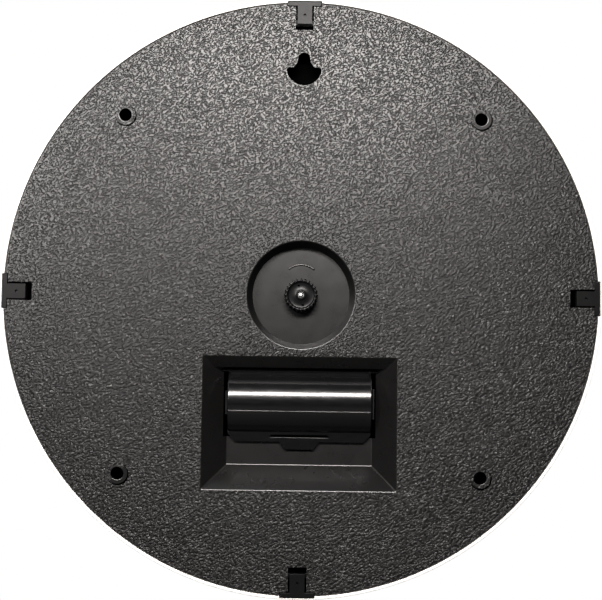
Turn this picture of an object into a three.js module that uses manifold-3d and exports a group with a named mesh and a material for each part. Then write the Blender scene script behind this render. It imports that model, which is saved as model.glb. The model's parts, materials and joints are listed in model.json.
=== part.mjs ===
// A round quartz wall clock: black back case in a white rim, hand-setting knob, hooded battery door.
// It is laid out about the axis of the hands. X runs to the right seen from the dial side, Z up, and
// "depth" is the distance from the back plane towards the dial, which is the -Y direction.
import * as THREE from "three";
import { ConvexGeometry } from "three/addons/geometries/ConvexGeometry.js";
import { mergeVertices } from "three/addons/utils/BufferGeometryUtils.js";
import Module from "manifold-3d";

const wasm = await Module();
wasm.setup();

// ---- Driving dimensions, in millimetres ----
const GAP = 0.3; // kept between pieces that touch
const OPEN = 2; // how far a cut runs past the face it opens
const RIM_SEGMENTS = 72;
const RING_SEGMENTS = 48;
const BORE_SEGMENTS = 16;
const PIN_SEGMENTS = 8;

const caseRadius = 125;
const caseWall = 2.2;
const plateThickness = 2.4;
const ribWall = 1.6;

const bezelWall = 1.2;
const lipWidth = 7.5;
const lipThickness = 1.5;
const lipRounding = 2;

const hangInset = 24.2; // from the case's rim in to the centre of the keyhole's neck
const keyShoulderDrop = 3.9; // from the hang point down to the wide part of the keyhole
const keyHeadRadius = 7.4;
const keyNeckRadius = 2.5;
const keyNeckFlare = 1.8;
const keyCorner = 1.2;
const keyPocketDepth = 8.4;
const keyPocketMargin = 2;

const bossInset = 18.1; // from the case's rim in to the axis of a case screw
const bossRadius = 4.25;
const bossHoleRadius = 2.6;
const bossGroove = 0.7;
const bossGrooveDepth = 0.9;
const bossDepth = 26;
const bossShoulder = 4;
const screwShankRadius = 1.3;
const screwHeadThickness = 2.1;
const screwShankLength = 11.5;

const clipBarLength = 14.2;
const clipBarWidth = 2.05;
const clipBarThickness = 2.6;
const clipOverhang = 0.8; // how far the bar reaches past the case into the rim
const clipStemWidth = 6.35;
const clipStemLength = 7.75;
const clipStemThickness = 1.6;
const clipWing = 2.8;
const clipWingThickness = 1.5;
const clipSlotClearance = 0.6;
const clipSlotReach = 2.7; // open slot beyond the end of the stem

const knobRadius = 7.15;
const knobScallops = 24;
const knobScallopDepth = 0.5;
const knobLip = 1.5;
const knobDish = 0.9;
const knobHubRadius = 2;
const knobHubDrop = 0.3;
const knobRecess = 1; // from the back plane down to the knob's face
const knobHeight = 5.5;
const knobStemRadius = 2.6;
const knobPinHoleRadius = 0.4;
const knobPinHoleCircle = 4.2;
const knobPinHoleAngles = [76, -100]; // degrees
const wellRimRadius = 22.5;
const wellFloorRadius = 20.6;
const wellDepth = 7;
const wellFloorThickness = 2;
const markRadius = 8.4; // of the arc itself, about a centre above the knob's
const markRise = 4.9; // from the knob's centre up to that of the arc
const markHalfAngle = THREE.MathUtils.degToRad(41);
const markWidth = 0.6;
const markHeight = 0.4;

const cellRadius = 12.9;
const cellLength = 48;
const cellNubRadius = 3.6;
const cellNubLength = 1.6;
const cellClearance = 0.4;
const hoodWall = 1.2;
const hoodDrop = 1.75; // from the back plane down to the top of the hood
const doorHalfLength = 30.35;
const doorEndGap = 1.95;
const doorThickness = 1.4;
const flangeHeight = 3.6;
const flangeCorner = 3.2;
const hingeRadius = 1;
const hingePinRadius = 0.65;
const hingePinLength = 3.2;
const hingeToHood = 1.1;
const recessDepth = 10;
const recessSlope = 9.9; // sideways run of the recess's sloping walls
const recessTopSlope = 4.65;
const recessWall = 2.8;
const recessFloorThickness = 2;
const recessSill = 9.8; // flat floor below the door's flange
const bayClearance = 1.4; // between the movement and the battery bay
const latchTop = 15.9;
const latchBottom = 12.1;
const latchHeight = 3.2;
const latchSlotWidth = 24.2;
const latchSlotHeight = 1.2;
const latchHookWidth = 10;
const latchHookLength = 2.9;
const contactThickness = 0.5;
const contactWidth = 10;
const contactDrop = 5; // from the recess's floor down to the contacts' upper edges

const movementHalf = 28;
const movementWall = 1.4;
const movementHeight = 17.4; // inside, from the floor to the cover
const coverThickness = 1.8;
const coverClearance = 3.2; // between the knob well and the movement's cover
const pivotRadius = 0.5;
const pivotPostRadius = 1.8;
const pivotPostHeight = 1;
const pivotDepth = 1.7;
const arborRadius = 1.2;
const pipeWall = 0.7;
const bushWall = 1.3;
const bushFlange = 2.5;
const nutThickness = 2;
const nutWidth = 2.5;
const washerThickness = 0.9;
const washerWidth = 5;

const carrierThickness = 2;
const postWall = 2.4;
const dialThickness = 0.7;
const dialToLens = 8.9;
const lensThickness = 1.7;
const spacerWall = 1.2;
const spacerFlare = 4;

const handThickness = 0.6;
const hourHandLength = 62;
const minuteHandLength = 94;
const handWidth = 6;
const handTipWidth = 3;
const handHubRadius = 5;
const handTail = 14;
const hourHandLift = 4.5; // from the dial to the hour hand's face
const handStep = 2; // from one hand's rear face to the next
const shownHour = 10;
const shownMinute = 10;

// Gear trains: the going train turns the centre wheel, the motion works turn the hour hand.
const goingModule = movementHalf / 70;
const centreModule = movementHalf / 56;
const minuteModule = movementHalf / 56;
const pinionTeeth = 8;
const secondTeeth = 50;
const thirdTeeth = 48;
const centreTeeth = 48;
const minuteTeeth = 12;
const motionTeeth = 36;
const motionPinionTeeth = 10;
const hourTeeth = 40;
const wheelThickness = 1;
const pinionLength = 1.8;
const thirdAngle = THREE.MathUtils.degToRad(40);
const secondAngle = THREE.MathUtils.degToRad(155);
const rotorAngle = THREE.MathUtils.degToRad(200);
const motionAngle = THREE.MathUtils.degToRad(-45);
// Heights of the lower face of each wheel above the movement's floor.
const hourWheelUp = 1.6;
const motionPinionUp = 1.4;
const motionWheelUp = 3.4;
const minutePinionUp = 3.2;
const centreWheelUp = 5.9;
const thirdPinionUp = 5.5;
const frictionUp = 7.2;
const thirdWheelUp = 7.8;
const secondPinionUp = 7.4;
const collarUp = 8.2;
const secondWheelUp = 11.4;
const rotorPinionUp = 11;
const coreUp = 12.3;
const statorUp = 14.6;
const magnetUp = 14.2;
const boardUp = 15;

// ---- Depths and places that follow from them ----
const knobBottom = knobRecess + knobHeight;
const hoodRadius = cellRadius + cellClearance + hoodWall;
const cellDepth = hoodDrop + hoodRadius;
const bayFloor = cellDepth + cellRadius + 0.5;
const movementDepth = coverThickness + movementHeight + movementWall;
const caseDepth = Math.max(
  bayFloor + ribWall + GAP,
  wellDepth + wellFloorThickness + coverClearance + movementDepth + washerThickness + GAP,
);
const carrierBack = caseDepth + GAP;
const carrierFront = carrierBack + carrierThickness;
const dialBack = carrierFront + GAP;
const dialFront = dialBack + dialThickness;
const lensBack = dialFront + GAP + dialToLens;
const lensFront = lensBack + lensThickness;
const lipBack = lensFront + GAP;
const clockDepth = lipBack + lipThickness;
const movementFront = caseDepth - washerThickness - GAP;
const frameFloor = movementFront - movementWall;
const coverFront = frameFloor - movementHeight;
const coverBack = coverFront - coverThickness;
const level = (up) => frameFloor - up;

const bezelRadius = caseRadius + GAP + bezelWall;
const innerRadius = caseRadius - 0.1; // dial, carrier, spacer and lens inside the rim
const hangHeight = caseRadius - hangInset;
const keyShoulder = hangHeight - keyShoulderDrop;
const bossPlace = (caseRadius - bossInset) / Math.SQRT2;
const bossPlaces = [
  [bossPlace, bossPlace],
  [bossPlace, -bossPlace],
  [-bossPlace, -bossPlace],
  [-bossPlace, bossPlace],
];
const clipBarInner = caseRadius + clipOverhang - clipBarWidth;
const clipStemInner = clipBarInner - clipStemLength;

// The battery bay hangs below the movement.
const bayTop = -(movementHalf + bayClearance + ribWall);
const recessTop = bayTop + GAP;
const hingeZ = bayTop - hingeRadius;
const hoodTop = hingeZ - hingeToHood;
const hoodDepth = recessDepth - GAP; // where the hood meets the flange
const hoodChord = Math.sqrt(hoodRadius ** 2 - (cellDepth - hoodDepth + 0.5) ** 2);
const cellZ = hoodTop - hoodChord;
const hoodBottom = cellZ - hoodChord;
const flangeBottom = hoodBottom - flangeHeight;
const bayBottom = hoodBottom - 1.6;
const recessBottom = flangeBottom - recessSill;
const hingeDepth = hoodDepth - hingeRadius - 0.1;
const flangeBack = hoodDepth - doorThickness;
const bayHalf = doorHalfLength + doorEndGap;
const recessHalf = doorHalfLength + 0.55;
const latchZ = flangeBottom - latchHeight;
const hingePinEnd = doorHalfLength + hingePinLength;

// Gear arbors in the (x, z) plane.
const polar = (from, distance, angle) => [
  from[0] + distance * Math.cos(angle),
  from[1] + distance * Math.sin(angle),
];
const axis = [0, 0];
const third = polar(axis, ((centreTeeth + pinionTeeth) * centreModule) / 2, thirdAngle);
const second = polar(third, ((thirdTeeth + pinionTeeth) * goingModule) / 2, secondAngle);
const rotorAxis = polar(second, ((secondTeeth + pinionTeeth) * goingModule) / 2, rotorAngle);
const motionDistance = ((minuteTeeth + motionTeeth) * minuteModule) / 2;
const motion = polar(axis, motionDistance, motionAngle);
const hourModule = (2 * motionDistance) / (motionPinionTeeth + hourTeeth);
const motionStudRadius = 0.9;
const magnetRadius = 3.2;
const statorHoleRadius = 3.9;

const pipeInner = arborRadius + 0.4;
const pipeOuter = pipeInner + pipeWall;
const bushInner = pipeOuter + 0.4;
const bushOuter = bushInner + bushWall;
const bushHole = bushOuter + GAP;
const hourHandBack = dialFront + hourHandLift - handThickness;
const minuteHandBack = hourHandBack + handStep;
const capBack = minuteHandBack + handThickness + GAP;
const arborEnd = capBack + GAP;

// ---- Solids ----

// A closed three.js geometry as a solid that can be joined and cut.
function solidOf(geometry) {
  const bare = geometry.index ? geometry.toNonIndexed() : geometry.clone();
  bare.deleteAttribute("normal");
  bare.deleteAttribute("uv");
  const merged = mergeVertices(bare, 1e-4);
  const vertProperties = merged.attributes.position.array;
  const triVerts = new Uint32Array(merged.index.array);
  return new wasm.Manifold(new wasm.Mesh({ numProp: 3, vertProperties, triVerts }));
}

function geometryOf(solid) {
  const { vertProperties, triVerts } = solid.getMesh();
  return new THREE.BufferGeometry()
    .setAttribute("position", new THREE.BufferAttribute(vertProperties, 3))
    .setIndex(new THREE.BufferAttribute(triVerts, 1))
    .toNonIndexed();
}

const joined = (first, ...rest) => rest.reduce((whole, piece) => whole.add(piece), first);
const cut = (solid, ...tools) => tools.reduce((whole, tool) => whole.subtract(tool), solid);

// An outline in the (x, z) plane, from one depth to another.
function slab(shape, from, to, curveSegments = 3) {
  const settings = { depth: to - from, bevelEnabled: false, curveSegments };
  const geometry = new THREE.ExtrudeGeometry(shape, settings);
  return solidOf(geometry.rotateX(Math.PI / 2).translate(0, -from, 0));
}

// A shape from its corner points.
const outline = (points) => new THREE.Shape(points.map(([x, z]) => new THREE.Vector2(x, z)));

// [radius, depth] points turned about an axis along the depth, at a place in the (x, z) plane.
function turned(points, segments, [x, z] = axis) {
  const profile = points.map(([radius, depth]) => new THREE.Vector2(radius, -depth));
  const area = THREE.ShapeUtils.area(profile);
  if (area < 0) profile.reverse();
  const geometry = new THREE.LatheGeometry(profile, segments);
  return solidOf(geometry.translate(x, 0, z));
}

const disc = (radius, from, to, place = axis, segments = BORE_SEGMENTS) =>
  cone(radius, radius, from, to, place, segments);

const cone = (radiusFrom, radiusTo, from, to, place = axis, segments = BORE_SEGMENTS) =>
  turned(
    [
      [0, from],
      [radiusFrom, from],
      [radiusTo, to],
      [0, to],
    ],
    segments,
    place,
  );

const ring = (outer, inner, from, to, place = axis, segments = RING_SEGMENTS) =>
  turned(
    [
      [inner, from],
      [outer, from],
      [outer, to],
      [inner, to],
      [inner, from],
    ],
    segments,
    place,
  );

// A box between two corners given as x, depth, z.
function box(x0, x1, from, to, z0, z1) {
  const geometry = new THREE.BoxGeometry(x1 - x0, to - from, z1 - z0);
  return solidOf(geometry.translate((x0 + x1) / 2, -(from + to) / 2, (z0 + z1) / 2));
}

// A bar along X between x0 and x1.
function rod(radius, x0, x1, depth, z, segments = BORE_SEGMENTS) {
  const geometry = new THREE.CylinderGeometry(radius, radius, x1 - x0, segments);
  return solidOf(geometry.rotateZ(Math.PI / 2).translate((x0 + x1) / 2, -depth, z));
}

// The hull of two upright rectangles, each [half width, bottom, top], at two depths.
function prismoid(rectangleFrom, from, rectangleTo, to) {
  const corners = ([half, bottom, top], depth) => [
    new THREE.Vector3(-half, -depth, bottom),
    new THREE.Vector3(half, -depth, bottom),
    new THREE.Vector3(half, -depth, top),
    new THREE.Vector3(-half, -depth, top),
  ];
  return solidOf(new ConvexGeometry([...corners(rectangleFrom, from), ...corners(rectangleTo, to)]));
}

function roundedRectangle(x0, x1, z0, z1, radius) {
  const shape = new THREE.Shape();
  shape.absarc(x1 - radius, z1 - radius, radius, 0, Math.PI / 2);
  shape.absarc(x0 + radius, z1 - radius, radius, Math.PI / 2, Math.PI);
  shape.absarc(x0 + radius, z0 + radius, radius, Math.PI, 1.5 * Math.PI);
  shape.absarc(x1 - radius, z0 + radius, radius, 1.5 * Math.PI, 2 * Math.PI);
  return shape;
}

// A spur gear's teeth, with one tooth at the angle given as its phase.
function toothedDisc(teeth, module, phase, from, to, place) {
  const pitchRadius = (teeth * module) / 2;
  const pitch = (2 * Math.PI) / teeth;
  const corners = [
    [pitchRadius - 1.15 * module, -0.3],
    [pitchRadius + 0.8 * module, -0.1],
    [pitchRadius + 0.8 * module, 0.1],
    [pitchRadius - 1.15 * module, 0.3],
  ];
  const points = [];
  for (let tooth = 0; tooth < teeth; tooth += 1) {
    for (const [radius, share] of corners) {
      points.push(polar(place, radius, phase + (tooth + share) * pitch));
    }
  }
  return slab(outline(points), from, to);
}

// The phase that puts a gap of the follower opposite a tooth of its driver.
const gapFacing = (angle, teeth) => angle + Math.PI + Math.PI / teeth;

// ---- Case ----

// A half-round head with rounded shoulders, and a neck that flares into them.
function keyholeShape() {
  const shape = new THREE.Shape();
  const shoulderHalf = keyNeckRadius + keyNeckFlare;
  const cornerInset = keyHeadRadius - keyCorner;
  const cornerAngle = Math.asin(keyCorner / cornerInset);
  const cornerX = cornerInset * Math.cos(cornerAngle);
  const cornerZ = keyShoulder - keyCorner;
  const neckMiddle = (keyShoulder + hangHeight) / 2;
  shape.absarc(0, keyShoulder, keyHeadRadius, Math.PI + cornerAngle, 2 * Math.PI - cornerAngle);
  shape.absarc(cornerX, cornerZ, keyCorner, -cornerAngle, Math.PI / 2);
  shape.lineTo(shoulderHalf, keyShoulder);
  shape.quadraticCurveTo(keyNeckRadius, neckMiddle, keyNeckRadius, hangHeight);
  shape.absarc(0, hangHeight, keyNeckRadius, 0, Math.PI);
  shape.quadraticCurveTo(-keyNeckRadius, neckMiddle, -shoulderHalf, keyShoulder);
  shape.absarc(-cornerX, cornerZ, keyCorner, Math.PI / 2, Math.PI + cornerAngle);
  return shape;
}

function keyPocket(margin, from, to) {
  const half = keyHeadRadius + margin;
  const top = hangHeight + keyNeckRadius + margin;
  return box(-half, half, from, to, keyShoulder - half, top);
}

// The recess is sloped on four sides; its top wall turns upright part of the way down.
function recess(grow, floorDepth) {
  const side = recessSlope + grow;
  const bottom = recessBottom - recessSlope - grow;
  const turnDepth = recessTopSlope;
  const turnSide = side - turnDepth;
  const top = recessTop + grow;
  const rim = [recessHalf + side, bottom, top + turnDepth];
  const turn = [recessHalf + turnSide, bottom + turnDepth, top];
  const floor = [recessHalf + grow, recessBottom - grow, top];
  return joined(
    prismoid(rim, 0, turn, turnDepth),
    prismoid(turn, turnDepth, floor, floorDepth),
  );
}

// The mouth keeps the recess open through the back plane.
function recessMouth() {
  const bottom = recessBottom - recessSlope;
  const half = recessHalf + recessSlope;
  return box(-half, half, -OPEN, 0.01, bottom, recessTop + recessTopSlope);
}

function turningMark() {
  const shape = new THREE.Shape();
  const outer = markRadius + markWidth / 2;
  const inner = markRadius - markWidth / 2;
  shape.absarc(0, markRise, outer, Math.PI / 2 - markHalfAngle, Math.PI / 2 + markHalfAngle);
  shape.absarc(0, markRise, inner, Math.PI / 2 + markHalfAngle, Math.PI / 2 - markHalfAngle, true);
  return slab(shape, wellDepth - markHeight, wellDepth + GAP, 5);
}

function clipSlot() {
  const half = clipStemWidth / 2 + clipSlotClearance;
  const slotInner = clipStemInner - clipSlotReach;
  const stemSlot = roundedRectangle(-half, half, slotInner, caseRadius + OPEN, 0.8);
  const barHalf = clipBarLength / 2 + GAP;
  return joined(
    slab(stemSlot, -OPEN, plateThickness + GAP),
    box(-barHalf, barHalf, -OPEN, clipBarThickness + 2 * GAP, clipBarInner - GAP, caseRadius + OPEN),
  );
}

// A solid turned about the axis of the hands.
function spun(solid, angle) {
  return solidOf(geometryOf(solid).rotateY(angle));
}

function caseShell() {
  const wellOuter = wellRimRadius + wellFloorThickness;
  const wellNarrow = wellFloorRadius + wellFloorThickness;
  const wellBottom = wellDepth + wellFloorThickness;
  const bayOuter = bayHalf + ribWall;
  return joined(
    disc(caseRadius, 0, plateThickness, axis, RIM_SEGMENTS),
    ring(caseRadius, caseRadius - caseWall, 0, caseDepth, axis, RIM_SEGMENTS),
    cone(wellOuter, wellNarrow, 0, wellBottom, axis, RING_SEGMENTS),
    recess(recessWall, recessDepth + recessFloorThickness),
    box(-bayOuter, bayOuter, recessDepth, bayFloor + ribWall, bayBottom - ribWall, bayTop + ribWall),
    keyPocket(keyPocketMargin + ribWall, 0, keyPocketDepth + ribWall),
    ...bossPlaces.map((place) => disc(bossRadius, 0, bossDepth, place)),
  );
}

// The bay opens through the floor of the recess and, past the door's ends, through its side walls.
// A rib stands between the plus end of the cell and the end wall; the contact folds round it.
function bayCavity() {
  const from = recessDepth - doorEndGap - GAP;
  const open = box(-bayHalf, bayHalf, from, bayFloor, bayBottom, bayTop);
  const ribNear = cellLength / 2 + 3;
  const ribHalf = contactWidth / 2 + 1;
  const ribTop = recessDepth + contactDrop + contactThickness + GAP;
  const rib = box(ribNear, ribNear + ribWall, ribTop, bayFloor + GAP, cellZ - ribHalf, cellZ + ribHalf);
  return cut(open, rib);
}

function bossCuts(place) {
  const groove = ring(bossRadius + bossGroove, bossRadius, -OPEN, bossGrooveDepth, place, BORE_SEGMENTS);
  const hole = disc(bossHoleRadius, -OPEN, bossDepth - bossShoulder, place);
  const shank = disc(screwShankRadius + GAP, 0, bossDepth + OPEN, place);
  return joined(groove, hole, shank);
}

function pinHoles() {
  const reach = hingePinEnd + GAP;
  return rod(hingePinRadius + GAP, -reach, reach, hingeDepth, hingeZ, PIN_SEGMENTS);
}

function latchWindow() {
  const half = latchHookWidth / 2 + GAP;
  const through = recessDepth + recessFloorThickness + OPEN;
  return box(-half, half, recessDepth - 1, through, latchZ - 2 * GAP, latchZ + 2);
}

function contactWindows() {
  const reach = bayHalf + ribWall + OPEN;
  return box(-reach, reach, cellDepth + 5, cellDepth + 6.5, cellZ - 2, cellZ + 2);
}

function backCase() {
  const knobHole = disc(knobStemRadius + 0.6, 0, wellDepth + wellFloorThickness + OPEN);
  const well = joined(
    disc(wellRimRadius, -OPEN, 0.01, axis, RING_SEGMENTS),
    cone(wellRimRadius, wellFloorRadius, 0, wellDepth, axis, RING_SEGMENTS),
  );
  const shell = cut(
    caseShell(),
    well,
    recess(0, recessDepth),
    recessMouth(),
    bayCavity(),
    slab(keyholeShape(), -OPEN, plateThickness + OPEN, 6),
    keyPocket(keyPocketMargin, plateThickness, keyPocketDepth),
    ...bossPlaces.map(bossCuts),
    ...[0, 1, 2, 3].map((turn) => spun(clipSlot(), (turn * Math.PI) / 2)),
    pinHoles(),
    latchWindow(),
    contactWindows(),
  );
  return cut(joined(shell, turningMark()), knobHole);
}

function rimClip() {
  const half = clipStemWidth / 2;
  const wingFrom = plateThickness + GAP;
  const wingTo = wingFrom + clipWingThickness;
  const barHalf = clipBarLength / 2;
  const barOuter = clipBarInner + clipBarWidth;
  const dimple = disc(0.4, -OPEN, 2 * GAP, [0, (clipStemInner + clipBarInner) / 2], PIN_SEGMENTS);
  return cut(
    joined(
      box(-barHalf, barHalf, GAP, clipBarThickness, clipBarInner, barOuter),
      box(-half, half, GAP, clipStemThickness + GAP, clipStemInner, clipBarInner + GAP),
      box(-half, half, GAP, wingTo, clipStemInner, clipStemInner + 2),
      box(-half - clipWing, half + clipWing, wingFrom, wingTo, clipStemInner, clipStemInner + 2),
    ),
    dimple,
  );
}

function caseScrew(place) {
  const headRadius = bossHoleRadius - GAP;
  const headTop = bossDepth - bossShoulder - GAP - screwHeadThickness;
  const shankEnd = headTop + screwHeadThickness + screwShankLength;
  const slot = 0.35;
  const [x, z] = place;
  return cut(
    joined(
      cone(headRadius * 0.85, headRadius, headTop, headTop + 0.6, place),
      disc(headRadius, headTop + 0.6, headTop + screwHeadThickness, place),
      disc(screwShankRadius, headTop + 1, shankEnd, place, PIN_SEGMENTS),
    ),
    box(x - slot, x + slot, headTop - 1, headTop + 1, z - 1.4, z + 1.4),
    box(x - 1.4, x + 1.4, headTop - 1, headTop + 1, z - slot, z + slot),
  );
}

// ---- Rim, dial and hands ----

function bezelRing() {
  const inner = caseRadius + GAP;
  const rounding = [0, 1, 2, 3, 4].map((step) => {
    const angle = (step / 4) * (Math.PI / 2);
    const radius = bezelRadius - lipRounding + lipRounding * Math.cos(angle);
    return [radius, clockDepth - lipRounding + lipRounding * Math.sin(angle)];
  });
  const profile = [
    [inner, 0],
    [bezelRadius, 0],
    ...rounding,
    [inner - lipWidth, clockDepth],
    [inner - lipWidth, lipBack],
    [inner, lipBack],
    [inner, 0],
  ];
  const barHalf = clipBarLength / 2 + GAP;
  const notchOuter = clipBarInner + clipBarWidth + 0.2;
  const notch = box(-barHalf, barHalf, -OPEN, clipBarThickness + GAP, caseRadius - 5, notchOuter);
  const notches = [0, 1, 2, 3].map((turn) => spun(notch, (turn * Math.PI) / 2));
  return cut(turned(profile, RIM_SEGMENTS), ...notches);
}

const lensGlass = () => disc(innerRadius, lensBack, lensFront, axis, RING_SEGMENTS);

function spacerRing() {
  const back = dialFront + GAP;
  const front = lensBack - GAP;
  return turned(
    [
      [innerRadius - spacerWall - spacerFlare, back],
      [innerRadius, back],
      [innerRadius, front],
      [innerRadius - spacerWall, front],
      [innerRadius - spacerWall - spacerFlare, back + 1],
      [innerRadius - spacerWall - spacerFlare, back],
    ],
    RING_SEGMENTS,
  );
}

function dialCarrier() {
  const postBack = bossDepth + GAP;
  const pilot = screwShankRadius + GAP;
  return cut(
    joined(
      disc(innerRadius, carrierBack, carrierFront, axis, RING_SEGMENTS),
      ...bossPlaces.map((place) => disc(pilot + postWall, postBack, carrierBack + 1, place)),
    ),
    disc(bushHole, carrierBack - OPEN, carrierFront + OPEN),
    ...bossPlaces.map((place) => disc(pilot, postBack - OPEN, carrierBack + 0.4, place, PIN_SEGMENTS)),
  );
}

const dialFace = () => ring(innerRadius, bushHole, dialBack, dialFront);

// A tapered hand with a round hub and a short tail, pointing at the angle from 12.
function hand(length, hubBore, back, angle) {
  const half = handWidth / 2;
  const tip = handTipWidth / 2;
  const blade = outline([
    [-half * 0.8, -handTail],
    [half * 0.8, -handTail],
    [half, 0],
    [tip, length - handTipWidth],
    [0, length],
    [-tip, length - handTipWidth],
    [-half, 0],
  ]);
  const front = back + handThickness;
  const body = joined(slab(blade, back, front), disc(handHubRadius, back, front));
  return spun(cut(body, disc(hubBore, back - OPEN, front + OPEN)), angle);
}

const minuteAngle = (shownMinute / 60) * 2 * Math.PI;
const hourAngle = ((shownHour + shownMinute / 60) / 12) * 2 * Math.PI;
const hourHand = () => hand(hourHandLength, pipeOuter + GAP, hourHandBack, hourAngle);
const minuteHand = () => hand(minuteHandLength, arborRadius + GAP, minuteHandBack, minuteAngle);

function handCap() {
  const front = capBack + 1.6;
  const profile = [
    [0, capBack],
    [4, capBack],
    [4, front - 0.5],
    [3.2, front],
    [0, front],
  ];
  const bore = disc(arborRadius + GAP, capBack - 1, arborEnd + GAP);
  return cut(turned(profile, BORE_SEGMENTS), bore);
}

// ---- Battery ----

function doorHood() {
  const outer = rod(hoodRadius, -doorHalfLength, doorHalfLength, cellDepth, cellZ, RING_SEGMENTS);
  const keep = box(-doorHalfLength - 1, doorHalfLength + 1, 0, hoodDepth, hoodBottom, hoodTop);
  const innerHalf = doorHalfLength - hoodWall;
  const ribHalf = doorHalfLength - 0.5;
  const inner = rod(hoodRadius - hoodWall, -innerHalf, innerHalf, cellDepth, cellZ, RING_SEGMENTS);
  const rib = rod(hoodRadius + 0.25, -ribHalf, ribHalf, cellDepth, cellZ, RING_SEGMENTS);
  const ribZ = cellZ - 3.2;
  const ribBand = box(-doorHalfLength, doorHalfLength, 0, hoodDepth, ribZ - 0.2, ribZ + 0.2);
  return cut(joined(outer.intersect(keep), rib.intersect(ribBand)), inner);
}

function doorFlange() {
  const lower = outline([
    [-doorHalfLength, hoodBottom + 0.8],
    [-doorHalfLength, flangeBottom + flangeCorner],
    [-doorHalfLength + flangeCorner, flangeBottom],
    [doorHalfLength - flangeCorner, flangeBottom],
    [doorHalfLength, flangeBottom + flangeCorner],
    [doorHalfLength, hoodBottom + 0.8],
  ]);
  const tab = outline([
    [-latchTop / 2, flangeBottom + 0.5],
    [-latchBottom / 2, latchZ],
    [latchBottom / 2, latchZ],
    [latchTop / 2, flangeBottom + 0.5],
  ]);
  const slotHalf = latchSlotWidth / 2;
  const slotTop = hoodBottom - 0.55;
  const hookHalf = latchHookWidth / 2;
  return cut(
    joined(
      slab(lower, flangeBack, hoodDepth),
      slab(tab, flangeBack, hoodDepth),
      box(-hookHalf, hookHalf, flangeBack, hoodDepth + latchHookLength, latchZ, latchZ + 1.3),
    ),
    box(-slotHalf, slotHalf, flangeBack - 1, hoodDepth + 1, slotTop - latchSlotHeight, slotTop),
  );
}

function doorHinge() {
  const barHalf = doorHalfLength - 1;
  return joined(
    rod(hingeRadius, -barHalf, barHalf, hingeDepth, hingeZ),
    rod(hingePinRadius, -hingePinEnd, hingePinEnd, hingeDepth, hingeZ, PIN_SEGMENTS),
    box(-barHalf, barHalf, hingeDepth - 0.5, hoodDepth - GAP, hoodTop - 0.6, hingeZ),
  );
}

const batteryDoor = () => joined(doorHood(), doorFlange(), doorHinge());

// The cell lies along X with its plus end towards +X.
function batteryCell() {
  const half = cellLength / 2;
  const bevel = 0.8;
  const profile = [
    [0, -half],
    [cellRadius - bevel, -half],
    [cellRadius, bevel - half],
    [cellRadius, half - bevel],
    [cellRadius - bevel, half],
    [cellNubRadius, half],
    [cellNubRadius, half + cellNubLength],
    [0, half + cellNubLength],
  ].map(([radius, along]) => new THREE.Vector2(radius, along));
  const geometry = new THREE.LatheGeometry(profile, 36);
  return solidOf(geometry.rotateZ(-Math.PI / 2).translate(0, -cellDepth, cellZ));
}

// A strip folded into a U round the rib, with a tail through the bay's end wall.
function contactPlate() {
  const near = cellLength / 2 + cellNubLength + 0.4;
  const far = bayHalf - GAP - contactThickness;
  const half = contactWidth / 2;
  const top = recessDepth + contactDrop;
  const back = cellZ - half;
  const front = cellZ + half;
  const bottom = cellDepth + 7;
  return joined(
    box(near, near + contactThickness, top, bottom, back, front),
    box(near, far + contactThickness, top, top + contactThickness, back, front),
    box(far, far + contactThickness, top, bottom, back, front),
    box(far, bayHalf + ribWall + 1, cellDepth + 5.5, cellDepth + 6, cellZ - 1.5, cellZ + 1.5),
  );
}

// A conical coil on a plate, pressed against the cell's flat end.
function contactSpring() {
  const plateAt = GAP - bayHalf;
  const coilFrom = plateAt + contactThickness;
  const coilTo = -(cellLength / 2) - 0.9;
  const turns = 3.5;
  class Coil extends THREE.Curve {
    getPoint(t, target = new THREE.Vector3()) {
      const radius = 5.2 - 2.4 * t;
      const angle = 2 * Math.PI * turns * t;
      const x = coilFrom + (coilTo - coilFrom) * t;
      return target.set(x, radius * Math.cos(angle) - cellDepth, radius * Math.sin(angle) + cellZ);
    }
  }
  const wire = new THREE.Shape().absarc(0, 0, 0.45, 0, 2 * Math.PI);
  const settings = { steps: 42, extrudePath: new Coil(), curveSegments: 3 };
  const half = contactWidth / 2 + 1.5;
  return joined(
    box(plateAt, coilFrom + 0.2, recessDepth + contactDrop / 2, cellDepth + 8, cellZ - half, cellZ + half),
    box(-(bayHalf + ribWall + 1), coilFrom, cellDepth + 5.5, cellDepth + 6, cellZ - 1.5, cellZ + 1.5),
    solidOf(new THREE.ExtrudeGeometry(wire, settings)),
  );
}

// A lead from a contact's tail, up past the bay's corner, through the movement's side wall to the board.
const leadRadius = 0.6;
const leadDepth = level(boardUp) + leadRadius + GAP;
const leadZ = -(movementHalf - 8);
function lead(side) {
  const start = bayHalf + ribWall + 1 + GAP;
  const cornerZ = bayTop + ribWall + leadRadius;
  const route = [
    [start, cellDepth + 5.75, cellZ],
    [start + 1.5, cellDepth + 5.7, cellZ + 0.3],
    [start + 2.2, cellDepth + 5, cellZ + 3],
    [start + 1.2, cellDepth + 3, (cellZ + cornerZ) / 2],
    [start, leadDepth + 1, cornerZ + 0.5],
    [(start + movementHalf + 4) / 2, leadDepth + 0.5, (cornerZ + leadZ) / 2],
    [movementHalf + 4, leadDepth + 0.2, leadZ - 0.8],
    [movementHalf + 1, leadDepth, leadZ],
    [movementHalf - 5, leadDepth, leadZ],
  ].map(([x, depth, z]) => new THREE.Vector3(side * x, -depth, z));
  const section = new THREE.Shape().absarc(0, 0, leadRadius, 0, 2 * Math.PI);
  const settings = { steps: 24, extrudePath: new THREE.CatmullRomCurve3(route), curveSegments: 4 };
  return solidOf(new THREE.ExtrudeGeometry(section, settings));
}

// ---- Movement ----

const movementOutline = (inset) => {
  const half = movementHalf - inset;
  return roundedRectangle(-half, half, -half, half, 3);
};

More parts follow.
